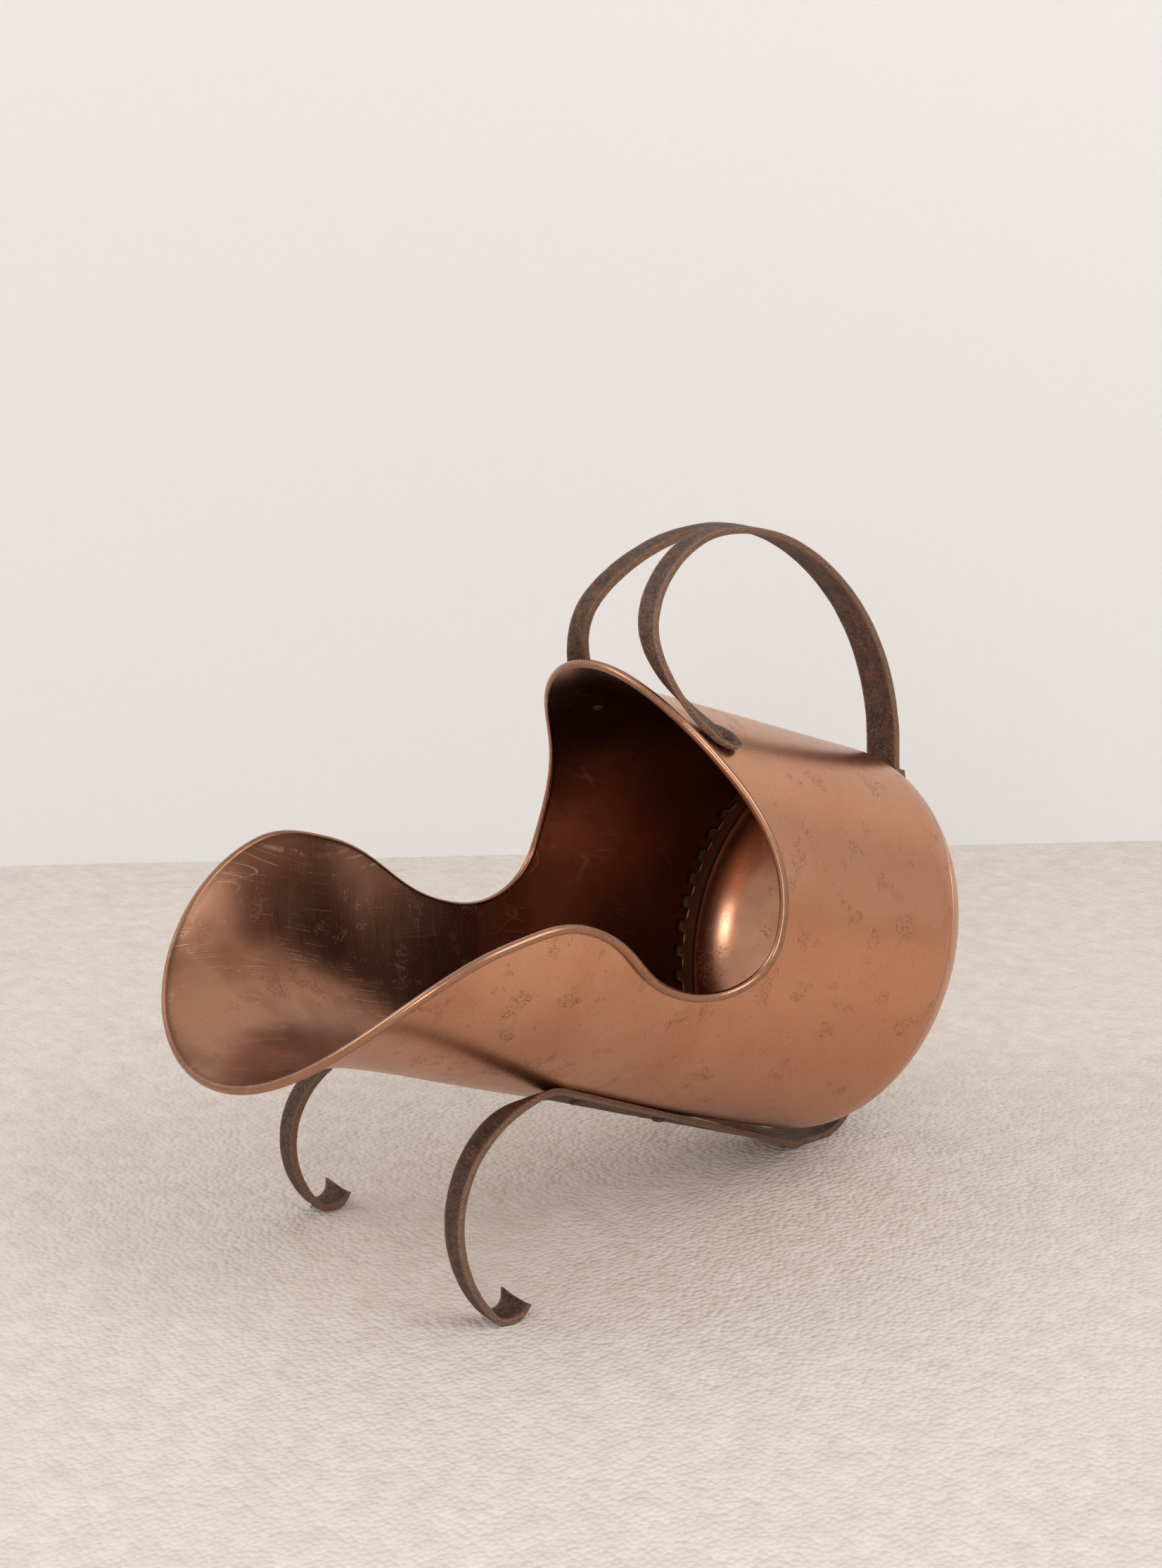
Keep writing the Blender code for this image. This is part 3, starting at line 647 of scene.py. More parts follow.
bm, spots = flat_sheet(len(mouth), neck_rows + barrel_rows + curl_rows)
rubbed_layer, deep_shade_layer, crease_shade_layer = (
    bm.verts.layers.float[name] for name in ("rubbed", "shade_and_flux", "crease")
)
for corner, spot in spots.items():
    corner.co, corner[rubbed_layer], corner[deep_shade_layer] = on_sheet(*spot)
    # The rows by the curl get painted shade with some dirt: the dark line under the bead.
    from_crease = abs(spot[1] - neck_rows - barrel_rows) / crease_rows
    corner[crease_shade_layer] = most_crease_shade * max(1 - from_crease, 0.0)
merged(bm)
turned_out(bm, Vector((0.0, 0.0, -1.0)))
barrel = finished("barrel", bm, (sheet_outside, sheet_inside), sheet_edge_angle)
thickened(barrel)
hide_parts("barrel_shell")
print("barrel faces", len(barrel.data.polygons))

# %% [markdown]
# ## The rim wire
#
# The wire shows only as a dark line in the mouth of the curl. A small ring of corners is
# swept along the rim by the same grid method.

# %% Wire in the curl
wire_sides = 12


def on_wire(column, row):
    """A point of the wire's skin, the column along the rim and the row round the wire."""
    point, edge, normal = rim[column % len(mouth)]
    turn = math.tau * (row % wire_sides) / wire_sides
    centre = point + normal * (wire_radius + clearance)
    return centre + (edge * math.sin(turn) - normal * math.cos(turn)) * wire_radius


bm, spots = flat_sheet(len(mouth), wire_sides)
for corner, spot in spots.items():
    corner.co = on_wire(*spot)
merged(bm)
wire = finished("wire_in_rim", bm, (wire_iron,), round_edge_angle)
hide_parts("rim_wire")
print("wire faces", len(wire.data.polygons))

# %% [markdown]
# ## The dome
#
# A raised dome is round, so half its section is drawn once and spun. Its skirt steps in by a
# sheet's thickness to sit inside the barrel, and its edge is cut into cramps: small tabs that
# lap the barrel's inner face and are hammered and brazed down. Every second stretch of the
# edge is pulled out into one.

# %% Spinning the dome and pulling out the cramps
cramp_count = 45
steps_per_cramp = 6
dome_steps = cramp_count * steps_per_cramp
section_points = 48
skirt_rows = 5
skirt_grime = 0.60
joint_grime = 0.95
tab_grime = 1.0
tuck = -(sheet + 2 * clearance)

bm = bmesh.new()
rubbed_layer = bm.verts.layers.float.new("rubbed")
flux_layer = bm.verts.layers.float.new("shade_and_flux")
inner_depth = joint_depth - skirt_width
section = []
for i in range(skirt_rows + 1):
    depth = inner_depth + (joint_depth - inner_depth) * i / skirt_rows
    section.append(bm.verts.new(on_dome(math.pi, dome_polar(depth), tuck)))
first_polar = dome_polar(joint_depth + sheet)
for i in range(section_points + 1):
    polar = first_polar + (quarter - first_polar) * i / section_points
    section.append(bm.verts.new(on_dome(math.pi, polar)))
for corner in section[:-1]:
    corner[flux_layer] = skirt_grime if corner in section[:skirt_rows] else 0.0
for corner in section[skirt_rows : skirt_rows + 2]:
    corner[flux_layer] = joint_grime
# The barrel is a little taller than wide, so the dome is spun round and then stretched.
stretch = Matrix.Diagonal((1.0, 1.0, barrel_oval_share, 1.0))
upright = Matrix.Rotation(barrel_tilt, 4, "X") @ Matrix.Translation(-spring)
bmesh.ops.transform(bm, matrix=stretch.inverted() @ upright, verts=bm.verts)
spun(bm, section, (0.0, 1.0, 0.0), dome_steps)


def on_a_cramp(edge):
    """Whether the edge's middle is on one of the tabs."""
    turn = math.atan2(*((edge.verts[0].co + edge.verts[1].co) / 2).xz) % math.tau
    return turn / math.tau * cramp_count % 1.0 < 0.5


mouth_edges = [e for e in bm.edges if e.is_boundary and on_a_cramp(e)]
pulled = bmesh.ops.extrude_edge_only(bm, edges=mouth_edges)["geom"]
tabs = [v for v in pulled if isinstance(v, bmesh.types.BMVert)]
bmesh.ops.translate(bm, vec=(0.0, -cramp_width, 0.0), verts=tabs)
for corner in tabs:
    corner[flux_layer] = tab_grime
bmesh.ops.recalc_face_normals(bm, faces=bm.faces)
turned_out(bm, Vector((0.0, 1.0, 0.0)))
for corner in bm.verts:
    turn = math.atan2(corner.co.x, -corner.co.z)
    corner.co += Vector((corner.co.x, 0.0, corner.co.z)) * (belly(turn) / barrel_radius)
bmesh.ops.transform(bm, matrix=upright.inverted() @ stretch, verts=bm.verts)
dome = finished("dome", bm, (dome_outside, dome_inside), sheet_edge_angle)
thickened(dome)
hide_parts("dome_end")
print("dome faces", len(dome.data.polygons), "with", cramp_count, "cramps")

# %% [markdown]
# ## Bars
#
# A smith bends a bar by pulling it over the horn a little at a time, so its middle line is a
# chain of arcs and straights. Each bar is slit lengthwise at one end, and its halves are
# opened into a fork. Only the right half is made, and mirrored: past the slit it has an
# inner face of its own.

# %% Sizes of the bars
bar_width = 0.035
bar_thickness = 0.005
bar_round = 0.0011
prong_width = 0.0195
lap_length = 0.050
lap_lean = math.radians(9.5)
lap_set_radius = 0.060
bend_step = math.radians(2.0)
run_step = 0.003
strap_gap = 0.0008

handle_height = 0.512
bow_radius = 0.206
crown_radius = 0.143
crown_turn = math.radians(33)
slit_turn = math.radians(3)
fork_bow_radius = 0.110
knee_end = math.radians(325)
ankle_radius = 0.020
handle_foot_reach = 0.1945
handle_foot_length = 0.018
handle_foot_spread = 0.080
handle_opening_shares = 0.12, 0.36
spatula_spread = 0.0022
spatula_length = 0.024
spatula_rise = 0.015
spatula_tip_share = 0.2
spatula_thinning = 0.45

cradle_spread = 0.076
crease_reach = 0.258
heel_setback = 0.0177
heel_radius = 0.037
heel_flat = 0.018
crease_radius = 0.070
shoulder_run = 0.0135
shoulder_radius = 0.073
shin_end = math.radians(311.5)
leg_spread = 0.1215
toe_radius = 0.011
toe_flat = 0.002
toe_curl = math.radians(75)
toe_tip = 0.004
toe_width = 0.037
toe_taper = 0.040
toe_taper_power = 2.2
toe_thinning = 0.5
toe_thin_length = 0.020
runner_opening_shares = 0.25, 0.20
leg_opening_shares = 0.36, 0.02
roll_on_share = 0.25
roll_off_share = 0.35
print("bar", bar_width * 1000, "x", bar_thickness * 1000, "mm")


# %% A bar's middle line
def arc_advance(radius, start, end):
    """How far an arc turning left moves along Y between two headings."""
    return radius * (math.sin(end) - math.sin(start))


def arc_rise(radius, start, end):
    """How far it moves along Z."""
    return radius * (math.cos(start) - math.cos(end))


class Bar:
    """A bar's middle line in the side view, with its section's place along it.

    Each move is a straight length and no turn, or a radius and the angle turned to the left.
    Each opening is where it ends, the place across there, and how much the prong opens as it
    leaves and as it arrives. A section drawn thinner keeps its middle, or with a sink side of
    -1 its lower face.
    """

    sink_side = 0
    last_slope = 0.0

    def __init__(self, start, heading, moves, slit_after):
        y, z = start
        distance = 0.0
        self.stations = [(distance, y, z, heading)]
        self.marks = [distance]
        for size, turn in moves:
            length = size * abs(turn) if turn else size
            count = math.ceil(max(abs(turn) / bend_step, length / run_step))
            for _ in range(count):
                chord = 2 * size * math.sin(abs(turn) / count / 2) if turn else length / count
                y += chord * math.cos(heading + turn / count / 2)
                z += chord * math.sin(heading + turn / count / 2)
                heading += turn / count
                distance += length / count
                self.stations.append((distance, y, z, heading))
            self.marks.append(distance)
        self.distances = [station[0] for station in self.stations]
        self.slit = self.marks[slit_after]
        self.end = distance

    def fall(self, distance):
        """How far the section lies to the right of the side view's line."""
        return 0.0

    def half_width(self, distance):
        """Half the width of a prong, or a quarter of the whole bar's before the slit."""
        share = eased((distance - self.slit) / bar_width)
        return bar_width / 4 + (prong_width / 2 - bar_width / 4) * share

    def half_depth(self, distance):
        """Half the thickness, which the smith draws out towards the end."""
        thinned = eased((distance - self.end + self.thin_length) / self.thin_length)
        return bar_thickness / 2 * (1 - self.thinning * thinned)

    def across(self, distance):
        """The prong's distance from the middle plane: each opening starts where the last ended."""
        place, start = bar_width / 4, self.slit
        for end, aside, slopes in self.openings:
            length = end - start
            t = min(max(distance - start, 0.0) / length, 1.0)
            leave = slopes[0] * length * t * (1 - t) ** 2
            arrive = slopes[1] * length * t * t * (1 - t)
            place += (aside - place) * eased(t) + leave - arrive
            start = end
        return place + max(distance - start, 0.0) * self.last_slope

    def frame(self, distance):
        """The section's centre and its directions along, across and through the bar."""
        distance = min(max(distance, 0.0), self.end)
        after_place = bisect.bisect_left(self.distances, distance, 1, len(self.distances) - 1)
        before, after = self.stations[after_place - 1 : after_place + 1]
        share = (distance - before[0]) / (after[0] - before[0])
        _, y, z, heading = (a + (b - a) * share for a, b in zip(before, after))
        left = Vector((0.0, -math.sin(heading), math.cos(heading)))
        centre = Vector((self.across(distance), y, z)) - left * self.fall(distance)
        step = bar_thickness if distance > self.slit + merge_distance else 0.0
        drift = self.across(distance + step) - self.across(distance - step)
        drop = self.fall(distance + step) - self.fall(distance - step)
        along = Vector((0.0, math.cos(heading), math.sin(heading))) * max(step, bar_thickness) * 2
        along = (along + across_way * drift - left * drop).normalized()
        turn = self.roll(distance)
        width = across_way * math.cos(turn) + left * math.sin(turn)
        width = (width - along * width.dot(along)).normalized()
        return centre, along, width, width.cross(along)


print("bends in steps of", round(math.degrees(bend_step), 1), "degrees")


# %% Where the two bars lap
def dome_tangent(lean):
    """Where a bar leaning forward rests on the dome's back, the way up the bar and out."""
    outward = Vector((0.0, math.cos(lean), math.sin(lean)))
    deep = dome_depth * outward.dot(axis_way)
    tall = barrel_radius * outward.dot(rise_way)
    power = dome_power / (dome_power - 1)
    whole = (deep**power + tall**power) ** (1 / power)
    along = dome_depth * (deep / whole) ** (power - 1)
    radius = barrel_radius * (tall / whole) ** (power - 1)
    return spring + axis_way * along + rise_way * radius, outward.cross(across_way) * -1, outward


lap_touch, lap_up, lap_out = dome_tangent(lap_lean)
print("bars lap at", [round(c, 4) for c in lap_touch])


# %% The handle's line
class Handle(Bar):
    """Up from the dome's back, over in a bow, and down as two prongs to feet on the barrel."""

    sink_side = -1
    last_slope = handle_opening_shares[1]
    thinning, thin_length = spatula_thinning, spatula_length

    def __init__(self):
        start = lap_touch + lap_out * (clearance + bar_thickness / 2) - lap_up * lap_length / 2
        lap_top = start + lap_up * lap_length
        top = handle_height - bar_thickness / 2
        level, half_way = math.pi, math.pi + quarter / 2
        turned = level - crown_turn
        landing = 2 * math.pi - barrel_tilt - barrel_opening_share
        upright_start = lap_top.z + arc_rise(lap_set_radius, quarter, quarter + lap_lean)
        bow_start = top - arc_rise(crown_radius, turned, level)
        bow_start -= arc_rise(bow_radius, quarter, turned)
        crown = Vector((
            lap_top.y
            + arc_advance(lap_set_radius, quarter, quarter + lap_lean)
            + arc_advance(bow_radius, quarter, turned)
            + arc_advance(crown_radius, turned, level),
            top,
        ))
        seat = strap_gap + bar_thickness / 2
        self.foot_angle = math.asin(handle_foot_spread / (plain_radius(handle_foot_reach) + seat))
        foot = on_barrel(math.pi - self.foot_angle, handle_foot_reach, seat)
        left_over = (foot - axis_way * handle_foot_length / 2).yz - crown
        left_over -= Vector(tuple(
            move(fork_bow_radius, level, half_way) + move(ankle_radius, knee_end, landing)
            for move in (arc_advance, arc_rise)
        ))
        shape = Matrix((
            (arc_advance(1, half_way, knee_end), math.cos(knee_end)),
            (arc_rise(1, half_way, knee_end), math.sin(knee_end)),
        ))
        knee_radius, shin_run = shape.inverted() @ left_over
        moves = (
            (lap_length, 0.0),
            (lap_set_radius, -lap_lean),
            (bow_start - upright_start, 0.0),
            (bow_radius, turned - quarter),
            (crown_radius, crown_turn),
            (fork_bow_radius, slit_turn),
            (fork_bow_radius, half_way - level - slit_turn),
            (knee_radius, knee_end - half_way),
            (shin_run, 0.0),
            (ankle_radius, landing - knee_end),
            (handle_foot_length, 0.0),
        )
        super().__init__(start.yz, quarter + lap_lean, moves, slit_after=6)
        self.foot_start = self.marks[-2]
        self.foot_across = foot.x
        foot_middle = (self.foot_start + self.end) / 2
        self.openings = ((foot_middle, foot.x, handle_opening_shares),)

    def landed(self, distance):
        """0 on the free part of the prong, 1 from where its foot starts."""
        lead = (self.foot_start - self.slit) / 2
        return eased((distance - self.foot_start + lead) / lead)

    def roll(self, distance):
        """The section's turn about the line."""
        return -self.foot_angle * self.landed(distance)

    def fall(self, distance):
        """The foot's flat follows the barrel as it spreads."""
        aside = self.across(distance) - self.foot_across
        return aside * math.tan(self.foot_angle) * self.landed(distance)

    def half_width(self, distance):
        """The foot is spread to a spatula with a round end."""
        width = super().half_width(distance)
        spread = (distance - self.end + spatula_length) / spatula_rise
        width += spatula_spread * eased(spread)
        past = max(distance - self.end + width, 0.0) / width
        return width * max(math.sqrt(max(1 - past * past, 0.0)), spatula_tip_share)


handle_line = Handle()
print("handle bar length", round(handle_line.end, 3), "m")


# %% The cradle's line
class Cradle(Bar):
    """Down behind the dome, forward under the barrel as two prongs, and down as two legs."""

    thinning, thin_length = toe_thinning, toe_thin_length

    def __init__(self):
        middle = bar_thickness / 2
        start = lap_touch + lap_out * (2 * clearance + 3 * middle) + lap_up * lap_length / 2
        lap_end = start - lap_up * lap_length
        self.seat_radius = plain_radius(crease_reach) + strap_gap + middle
        seat_angle = math.asin(cradle_spread / self.seat_radius)
        crease = on_barrel(seat_angle, crease_reach, strap_gap + middle)
        slope = math.atan2(crease.z - middle, -heel_setback - crease.y)
        corner = heel_radius * math.tan(slope / 2)
        runner = math.hypot(crease.z - middle, -heel_setback - crease.y) - corner
        turned = quarter / 2
        heel_end = corner - heel_setback + heel_flat + heel_radius * math.sin(turned)
        back = lap_end.y + lap_set_radius * (1 - math.cos(lap_lean))
        back_height = lap_end.z - lap_set_radius * math.sin(lap_lean)
        back_radius = (back - heel_end) / (1 - math.cos(turned))
        back_rise = heel_radius * (1 - math.cos(turned)) + back_radius * math.sin(turned)
        rising, level, drop = math.pi - slope, math.pi, 3 * quarter
        ground = 2 * math.pi
        fall = crease.z - middle + arc_rise(crease_radius, rising, level)
        fall += arc_rise(shoulder_radius, level, drop) + arc_rise(toe_radius, shin_end, ground)
        shin_radius = -fall / arc_rise(1, drop, shin_end)
        moves = (
            (lap_length, 0.0),
            (lap_set_radius, -lap_lean),
            (back_height - middle - back_rise, 0.0),
            (back_radius, -turned),
            (heel_radius, -turned),
            (heel_flat, 0.0),
            (heel_radius, -slope),
            (runner, 0.0),
            (crease_radius, level - rising),
            (shoulder_run, 0.0),
            (shoulder_radius, drop - level),
            (shin_radius, shin_end - drop),
            (toe_radius, ground - shin_end),
            (toe_flat, 0.0),
            (toe_radius, toe_curl),
            (toe_tip, 0.0),
        )
        super().__init__(start.yz, lap_lean - quarter, moves, slit_after=6)
        self.runner_start, self.crease = self.marks[7:9]
        self.toe_start = self.marks[13]
        self.openings = (
            (self.crease, cradle_spread, runner_opening_shares),
            (self.toe_start, leg_spread, leg_opening_shares),
        )

    def half_width(self, distance):
        """The toe is spread like a fish's tail."""
        spread = max((distance - self.end + toe_taper) / toe_taper, 0.0) ** toe_taper_power
        return super().half_width(distance) + (toe_width - prong_width) / 2 * spread

    def roll(self, distance):
        """The section's turn about the line."""
        lean = math.asin(min(self.across(distance) / self.seat_radius, 1.0))
        runner = self.crease - self.runner_start
        leg = self.toe_start - self.crease
        on = eased((distance - self.runner_start) / runner / roll_on_share)
        off = eased((distance - self.crease) / leg / roll_off_share)
        return -lean * on * (1 - off)


cradle_line = Cradle()
print("cradle bar length", round(cradle_line.end, 3), "m")

# %% [markdown]
# ## Forging the bars
#
# The section is a flat bar with its corners rubbed round. The grid's rows go round this
# section and its columns along the bar. Uneven width and depth, a tenth or two of a
# millimetre, are what tells a forged bar from a rolled one.

# %% Section, ends and slit
flat_points = 9
corner_points = 4
forge_size = 0.022
forge_width = 0.00035
forge_depth = 0.00022
tail_notch = 0.0015
notch_run = 0.0045
notch_power = 1.6
edge_share = 0.9
side_wear = 0.7


def section_outline(inner_round):
    """Points round the section from its inner lower corner. The upper half mirrors the lower.

    Each is (across share, through share, across offset, through offset, rubbed).
    """
    lower = []
    for i in range(flat_points + 1):
        share = 2 * i / flat_points - 1
        pull = bar_round if share >= 0 else inner_round
        lower.append((share, -1, -share * pull * abs(share) ** 3, 0.0, abs(share) ** 6))
    for i in range(1, corner_points + 1):
        turn = quarter * i / corner_points
        out, up = bar_round * (math.sin(turn) - 1), bar_round * (1 - math.cos(turn))
        lower.append((1, -1, out, up, 1.0))
    upper = [(share, -through, out, -up, wear) for share, through, out, up, wear in lower[::-1]]
    return lower + [(1, 0, 0.0, 0.0, side_wear)] + upper


def forge(name, line, finish, notch=0.0):
    """The bar: its right half from a grid, closed at both ends, and mirrored."""
    half_section = section_outline(0.0)
    prong_section = section_outline(bar_round)
    rows = len(half_section)
    bm, spots = flat_sheet(len(line.stations) - 1, rows)
    rubbed = bm.verts.layers.float["rubbed"]
    for corner, (column, row) in spots.items():
        distance = line.stations[column][0]
        blend = eased((distance - line.slit) / (bar_width / 2))
        plain, split = half_section[row % rows], prong_section[row % rows]
        share, through, wide, deep, wear = (a + (b - a) * blend for a, b in zip(plain, split))
        at_end = eased((distance - line.end + notch_run) / notch_run)
        hollow = notch * (1 - abs(share) ** notch_power) * at_end
        centre, _, width, depth = line.frame(distance - hollow)
        mark = Vector((share, distance, through))
        half = line.half_width(distance)
        thick = line.half_depth(distance)
        if abs(share) > edge_share and (share > 0 or distance > line.slit + bar_width):
            half += hammered(mark, forge_size, forge_width)
        spread = share * half + wide
        lift = through * thick + deep
        lift += hammered(centre + width * spread, forge_size / 2, forge_depth, through)
        sink = bar_thickness / 2 - thick
        corner.co = centre + width * spread + depth * (lift - sink * line.sink_side)
        corner[rubbed] = wear if share > 0 or distance > line.slit else wear * blend
    middle_row = [
        f
        for f in bm.faces
        if all(spots[v][1] >= rows - 1 for v in f.verts)
        and min(line.stations[spots[v][0]][0] for v in f.verts) < line.slit - merge_distance
    ]
    ends = {0: [], len(line.stations) - 1: []}
    for corner, (column, row) in spots.items():
        if column in ends and row < rows:
            ends[column].append((row, corner))
    for ring in ends.values():
        bm.faces.new([corner for _, corner in sorted(ring, key=lambda pair: pair[0])])
    bmesh.ops.delete(bm, geom=middle_row, context="FACES")
    bmesh.ops.remove_doubles(bm, verts=bm.verts, dist=merge_distance)
    whole = bm.verts[:] + bm.edges[:] + bm.faces[:]
    bmesh.ops.mirror(bm, geom=whole, axis="X", merge_dist=merge_distance)
    merged(bm)
    return finished(name, bm, (finish,), bar_edge_angle)


handle = forge("handle_bar", handle_line, handle_iron)
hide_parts("handle")
cradle = forge("cradle_bar", cradle_line, leg_iron, tail_notch)
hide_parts("cradle")
print("bar faces", len(handle.data.polygons), len(cradle.data.polygons))

# %% [markdown]
# ## Rivets
#
# A rivet is a pin with a head on each end, so its half section is spun once. The outer head
# is low and wide, set with a snap and worn; the inner one is a flat burr.

# %% Rivets through bars and sheet
rivet_radius = 0.0025
rivet_head_radius = 0.0048
rivet_head_height = 0.0022
burr_radius = 0.0040
burr_height = 0.0014
burr_gap = 0.0002
foot_rivet_inset = 0.011
cradle_rivet_inset = 0.020
cradle_rivet_pitch = 0.100
dome_rivet_pitch = 0.024
rivet_steps = 28
head_points = 8
head_rim_share = 0.2
rivet_mark_size = 0.002
rivet_mark_depth = 0.00015


def rivet(name, foot, way, grip):
    """Its head is outside foot and its burr inside the grip, which ends at foot."""
    head, burr = clearance, -grip - clearance
    turns = [quarter * i / head_points for i in range(head_points + 1)]
    profile = []
    for turn in turns:
        rise = head_rim_share + (1 - head_rim_share) * math.cos(turn)
        profile.append((rivet_head_radius * math.sin(turn), head + rivet_head_height * rise))
    profile += [(rivet_head_radius, head), (rivet_radius, head), (rivet_radius, burr)]
    profile += [(burr_radius * math.cos(t), burr - burr_height * math.sin(t)) for t in turns]
    bm = bmesh.new()
    corners = [bm.verts.new((radius, 0.0, height)) for radius, height in profile]
    spun(bm, corners, (0.0, 0.0, 1.0), rivet_steps)
    bmesh.ops.recalc_face_normals(bm, faces=bm.faces)
    standing = Matrix.Translation(foot) @ way.to_track_quat("Z", "Y").to_matrix().to_4x4()
    bmesh.ops.transform(bm, matrix=standing, verts=bm.verts)
    for corner in bm.verts:
        corner.co += corner.normal * hammered(corner.co, rivet_mark_size, rivet_mark_depth)
    made = finished(name, bm, (rivet_iron,), round_edge_angle)
    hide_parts(name.replace("_pin", ""))


def height_off_barrel(point):
    """How far a point is outside the barrel's outer face."""
    offset = spring - point
    reach = offset.dot(axis_way)
    down = offset.dot(rise_way) / barrel_oval_share**2
    angle = math.atan2(abs(point.x), down)
    return math.hypot(point.x, down) - plain_radius(reach) - barrel_flare(angle, reach)


def prong_seat(line, distance):
    """A rivet's foot, way out and grip through a prong and the sheet."""
    centre, along, across, way = line.frame(distance)
    foot = centre + way * bar_thickness / 2
    ways = (along, -along, across, -across)
    height = max(height_off_barrel(foot + step * burr_radius) for step in ways)
    return foot, way, height + sheet + burr_gap


first_rivet = cradle_line.crease - cradle_rivet_inset
prong_seats = {
    "handle_rivet": prong_seat(handle_line, handle_line.end - foot_rivet_inset),
    "cradle_rivet_front": prong_seat(cradle_line, first_rivet),
    "cradle_rivet_rear": prong_seat(cradle_line, first_rivet - cradle_rivet_pitch),
}
for name, (foot, way, grip) in prong_seats.items():
    for side, sign in (("right", 1), ("left", -1)):
        mirror = Vector((sign, 1, 1))
        rivet(f"{name}_{side}_pin", foot * mirror, way * mirror, grip)
for name, sign in (("lap_rivet_upper", 1), ("lap_rivet_lower", -1)):
    laps = 2 * (clearance + bar_thickness)
    foot = lap_touch + lap_up * (sign * dome_rivet_pitch / 2) + lap_out * laps
    rivet(name + "_pin", foot, lap_out, laps + 2 * sheet)

# %% [markdown]
# ## Floor, wall, light and camera
#
# The copper takes its looks from what it reflects, so the room matters as much as the metal:
# a pale floor, a pale wall close behind, a wide soft lamp high on each side, a small one by
# the camera that the dome gathers to a bright spot, and an even sky for the rest.

# %% Camera
photo_height = 2230
focal_pixels = 3657.7
sensor_height = 36.0
camera_place = Vector((1.4945, -1.27553335, 0.82008831))
yaw, pitch, roll = (math.radians(a) for a in (-54.5385, 14.8380, -1.25887))

forward = Vector((
    math.sin(yaw) * math.cos(pitch), math.cos(yaw) * math.cos(pitch), -math.sin(pitch)
))
right = forward.cross(Vector((0.0, 0.0, 1.0))).normalized()
up = right.cross(forward)
rolled_right = right * math.cos(roll) + up * math.sin(roll)
rolled_up = up * math.cos(roll) - right * math.sin(roll)
lens = bpy.data.cameras.new("camera")
lens.sensor_fit = "VERTICAL"
lens.sensor_height = sensor_height
lens.lens = focal_pixels / photo_height * sensor_height
camera = bpy.data.objects.new("camera", lens)
turned = Matrix((rolled_right, rolled_up, -forward)).transposed()
camera.matrix_world = Matrix.Translation(camera_place) @ turned.to_4x4()
bpy.context.scene.collection.objects.link(camera)
bpy.context.scene.camera = camera
print("lens", round(lens.lens, 2), "mm")

# %% Floor and wall
wall_distance = 2.79
flat_forward = Vector((math.sin(yaw), math.cos(yaw), 0.0))
flat_right = Vector((math.cos(yaw), -math.sin(yaw), 0.0))
room_half_width = 6.0
wall_height = 3.0
loop_height = -0.9


def pale(name, colour, shade, thread, relief):
    """A matt pale surface with a fine looped or rolled grain."""
    finish, shader, place = blank(name)
    loops = add(finish, "TexVoronoi", {"Vector": place, "Scale": 1 / thread, "Randomness": 0.7})
    fuzz = add(finish, "TexNoise", {"Vector": place, "Scale": 0.25 / thread, "Detail": 5.0})
    height = add(finish, "Math", {0: loops, 1: loop_height, 2: fuzz}, operation="MULTIPLY_ADD")
    bump = add(finish, "Bump", {"Height": height, "Strength": relief, "Distance": thread / 2})
    shader.inputs["Roughness"].default_value = 0.9
    tone = layered(finish, linear(colour), ((fuzz, shade),))
    feed(finish, shader, Base_Color=tone, Normal=bump)
    return finish


def stage_board(name, finish, matrix, wide, tall):
    """A flat board of the room, in the matrix's XY plane."""
    bm = bmesh.new()
    bmesh.ops.create_grid(bm, x_segments=2, y_segments=2, size=0.5)
    bmesh.ops.scale(bm, vec=(wide, tall, 1.0), verts=bm.verts)
    bmesh.ops.transform(bm, matrix=matrix, verts=bm.verts)
    board = placed(name, bm, (finish,))


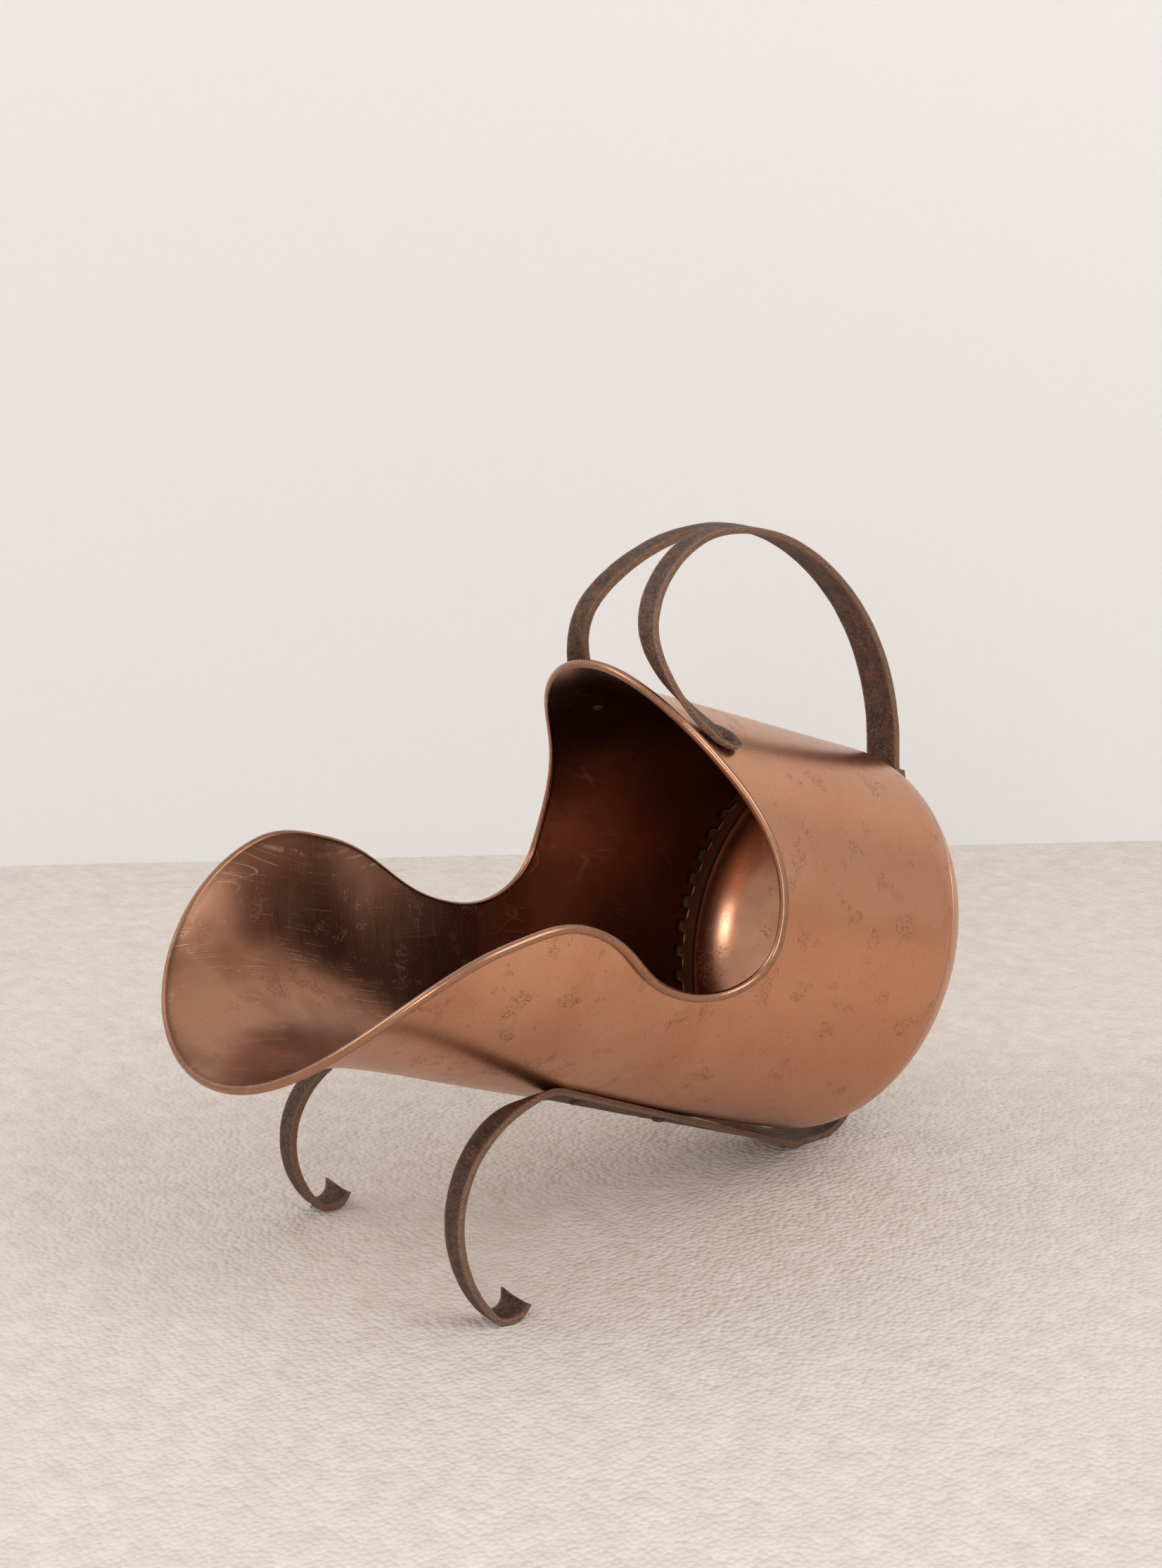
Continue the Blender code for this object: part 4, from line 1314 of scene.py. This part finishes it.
wool = pale("pale_wool_floor", "#EAE3DC", "#CFC3B7", thread=0.005, relief=0.9)
plaster = pale("pale_wall", "#F0EFEF", "#EDECEB", thread=0.002, relief=0.1)
# A view from behind looks through the wall, so its back is clear.
facing = add(plaster, "NewGeometry", {}, "Backfacing")
painted = plaster.node_tree.nodes["Principled BSDF"].outputs["BSDF"]
clear = add(plaster, "BsdfTransparent", {})
one_way = add(plaster, "MixShader", {0: facing, 1: painted, 2: clear})
surface = plaster.node_tree.nodes["Material Output"].inputs["Surface"]
plaster.node_tree.links.new(one_way, surface)
room_width = 2 * room_half_width
stage_board("floor", wool, Matrix.Identity(4), room_width, room_width)
wall_middle = Vector((*camera_place.xy, wall_height / 2)) + flat_forward * wall_distance
wall_turn = Matrix((flat_right, Vector((0, 0, 1)), -flat_forward)).transposed().to_4x4()
wall_matrix = Matrix.Translation(wall_middle) @ wall_turn
stage_board("wall", plaster, wall_matrix, room_width, wall_height)
print("wall stands", wall_distance, "m from the camera")


# %% Lamps and sky
def soft_lamp(name, place, aim, size, watts):
    """A square soft lamp that looks at aim."""
    lamp = bpy.data.lights.new(name, "AREA")
    lamp.size = size
    lamp.energy = watts
    made = bpy.data.objects.new(name, lamp)
    made.location = place
    made.rotation_mode = "QUATERNION"
    made.rotation_quaternion = (Vector(aim) - Vector(place)).to_track_quat("-Z", "Y")
    bpy.context.scene.collection.objects.link(made)


bucket_middle = (0.0, -0.2, 0.2)
dome_middle = (-0.13, 0.03, 0.14)
soft_lamp("high_left_lamp", (-1.3, -2.3, 2.4), bucket_middle, size=1.6, watts=20.0)
soft_lamp("high_right_lamp", (2.0, 0.3, 2.2), bucket_middle, size=1.6, watts=24.0)
soft_lamp("camera_lamp", (1.40, -1.60, 1.05), dome_middle, size=0.5, watts=6.0)
world = bpy.data.worlds.new("plain_sky")
world.use_nodes = True
sky = world.node_tree.nodes["Background"]
sky.inputs["Color"].default_value = linear("#F4F2F0")
sky.inputs["Strength"].default_value = 0.80
bpy.context.scene.world = world
bpy.context.scene.view_settings.view_transform = "Standard"
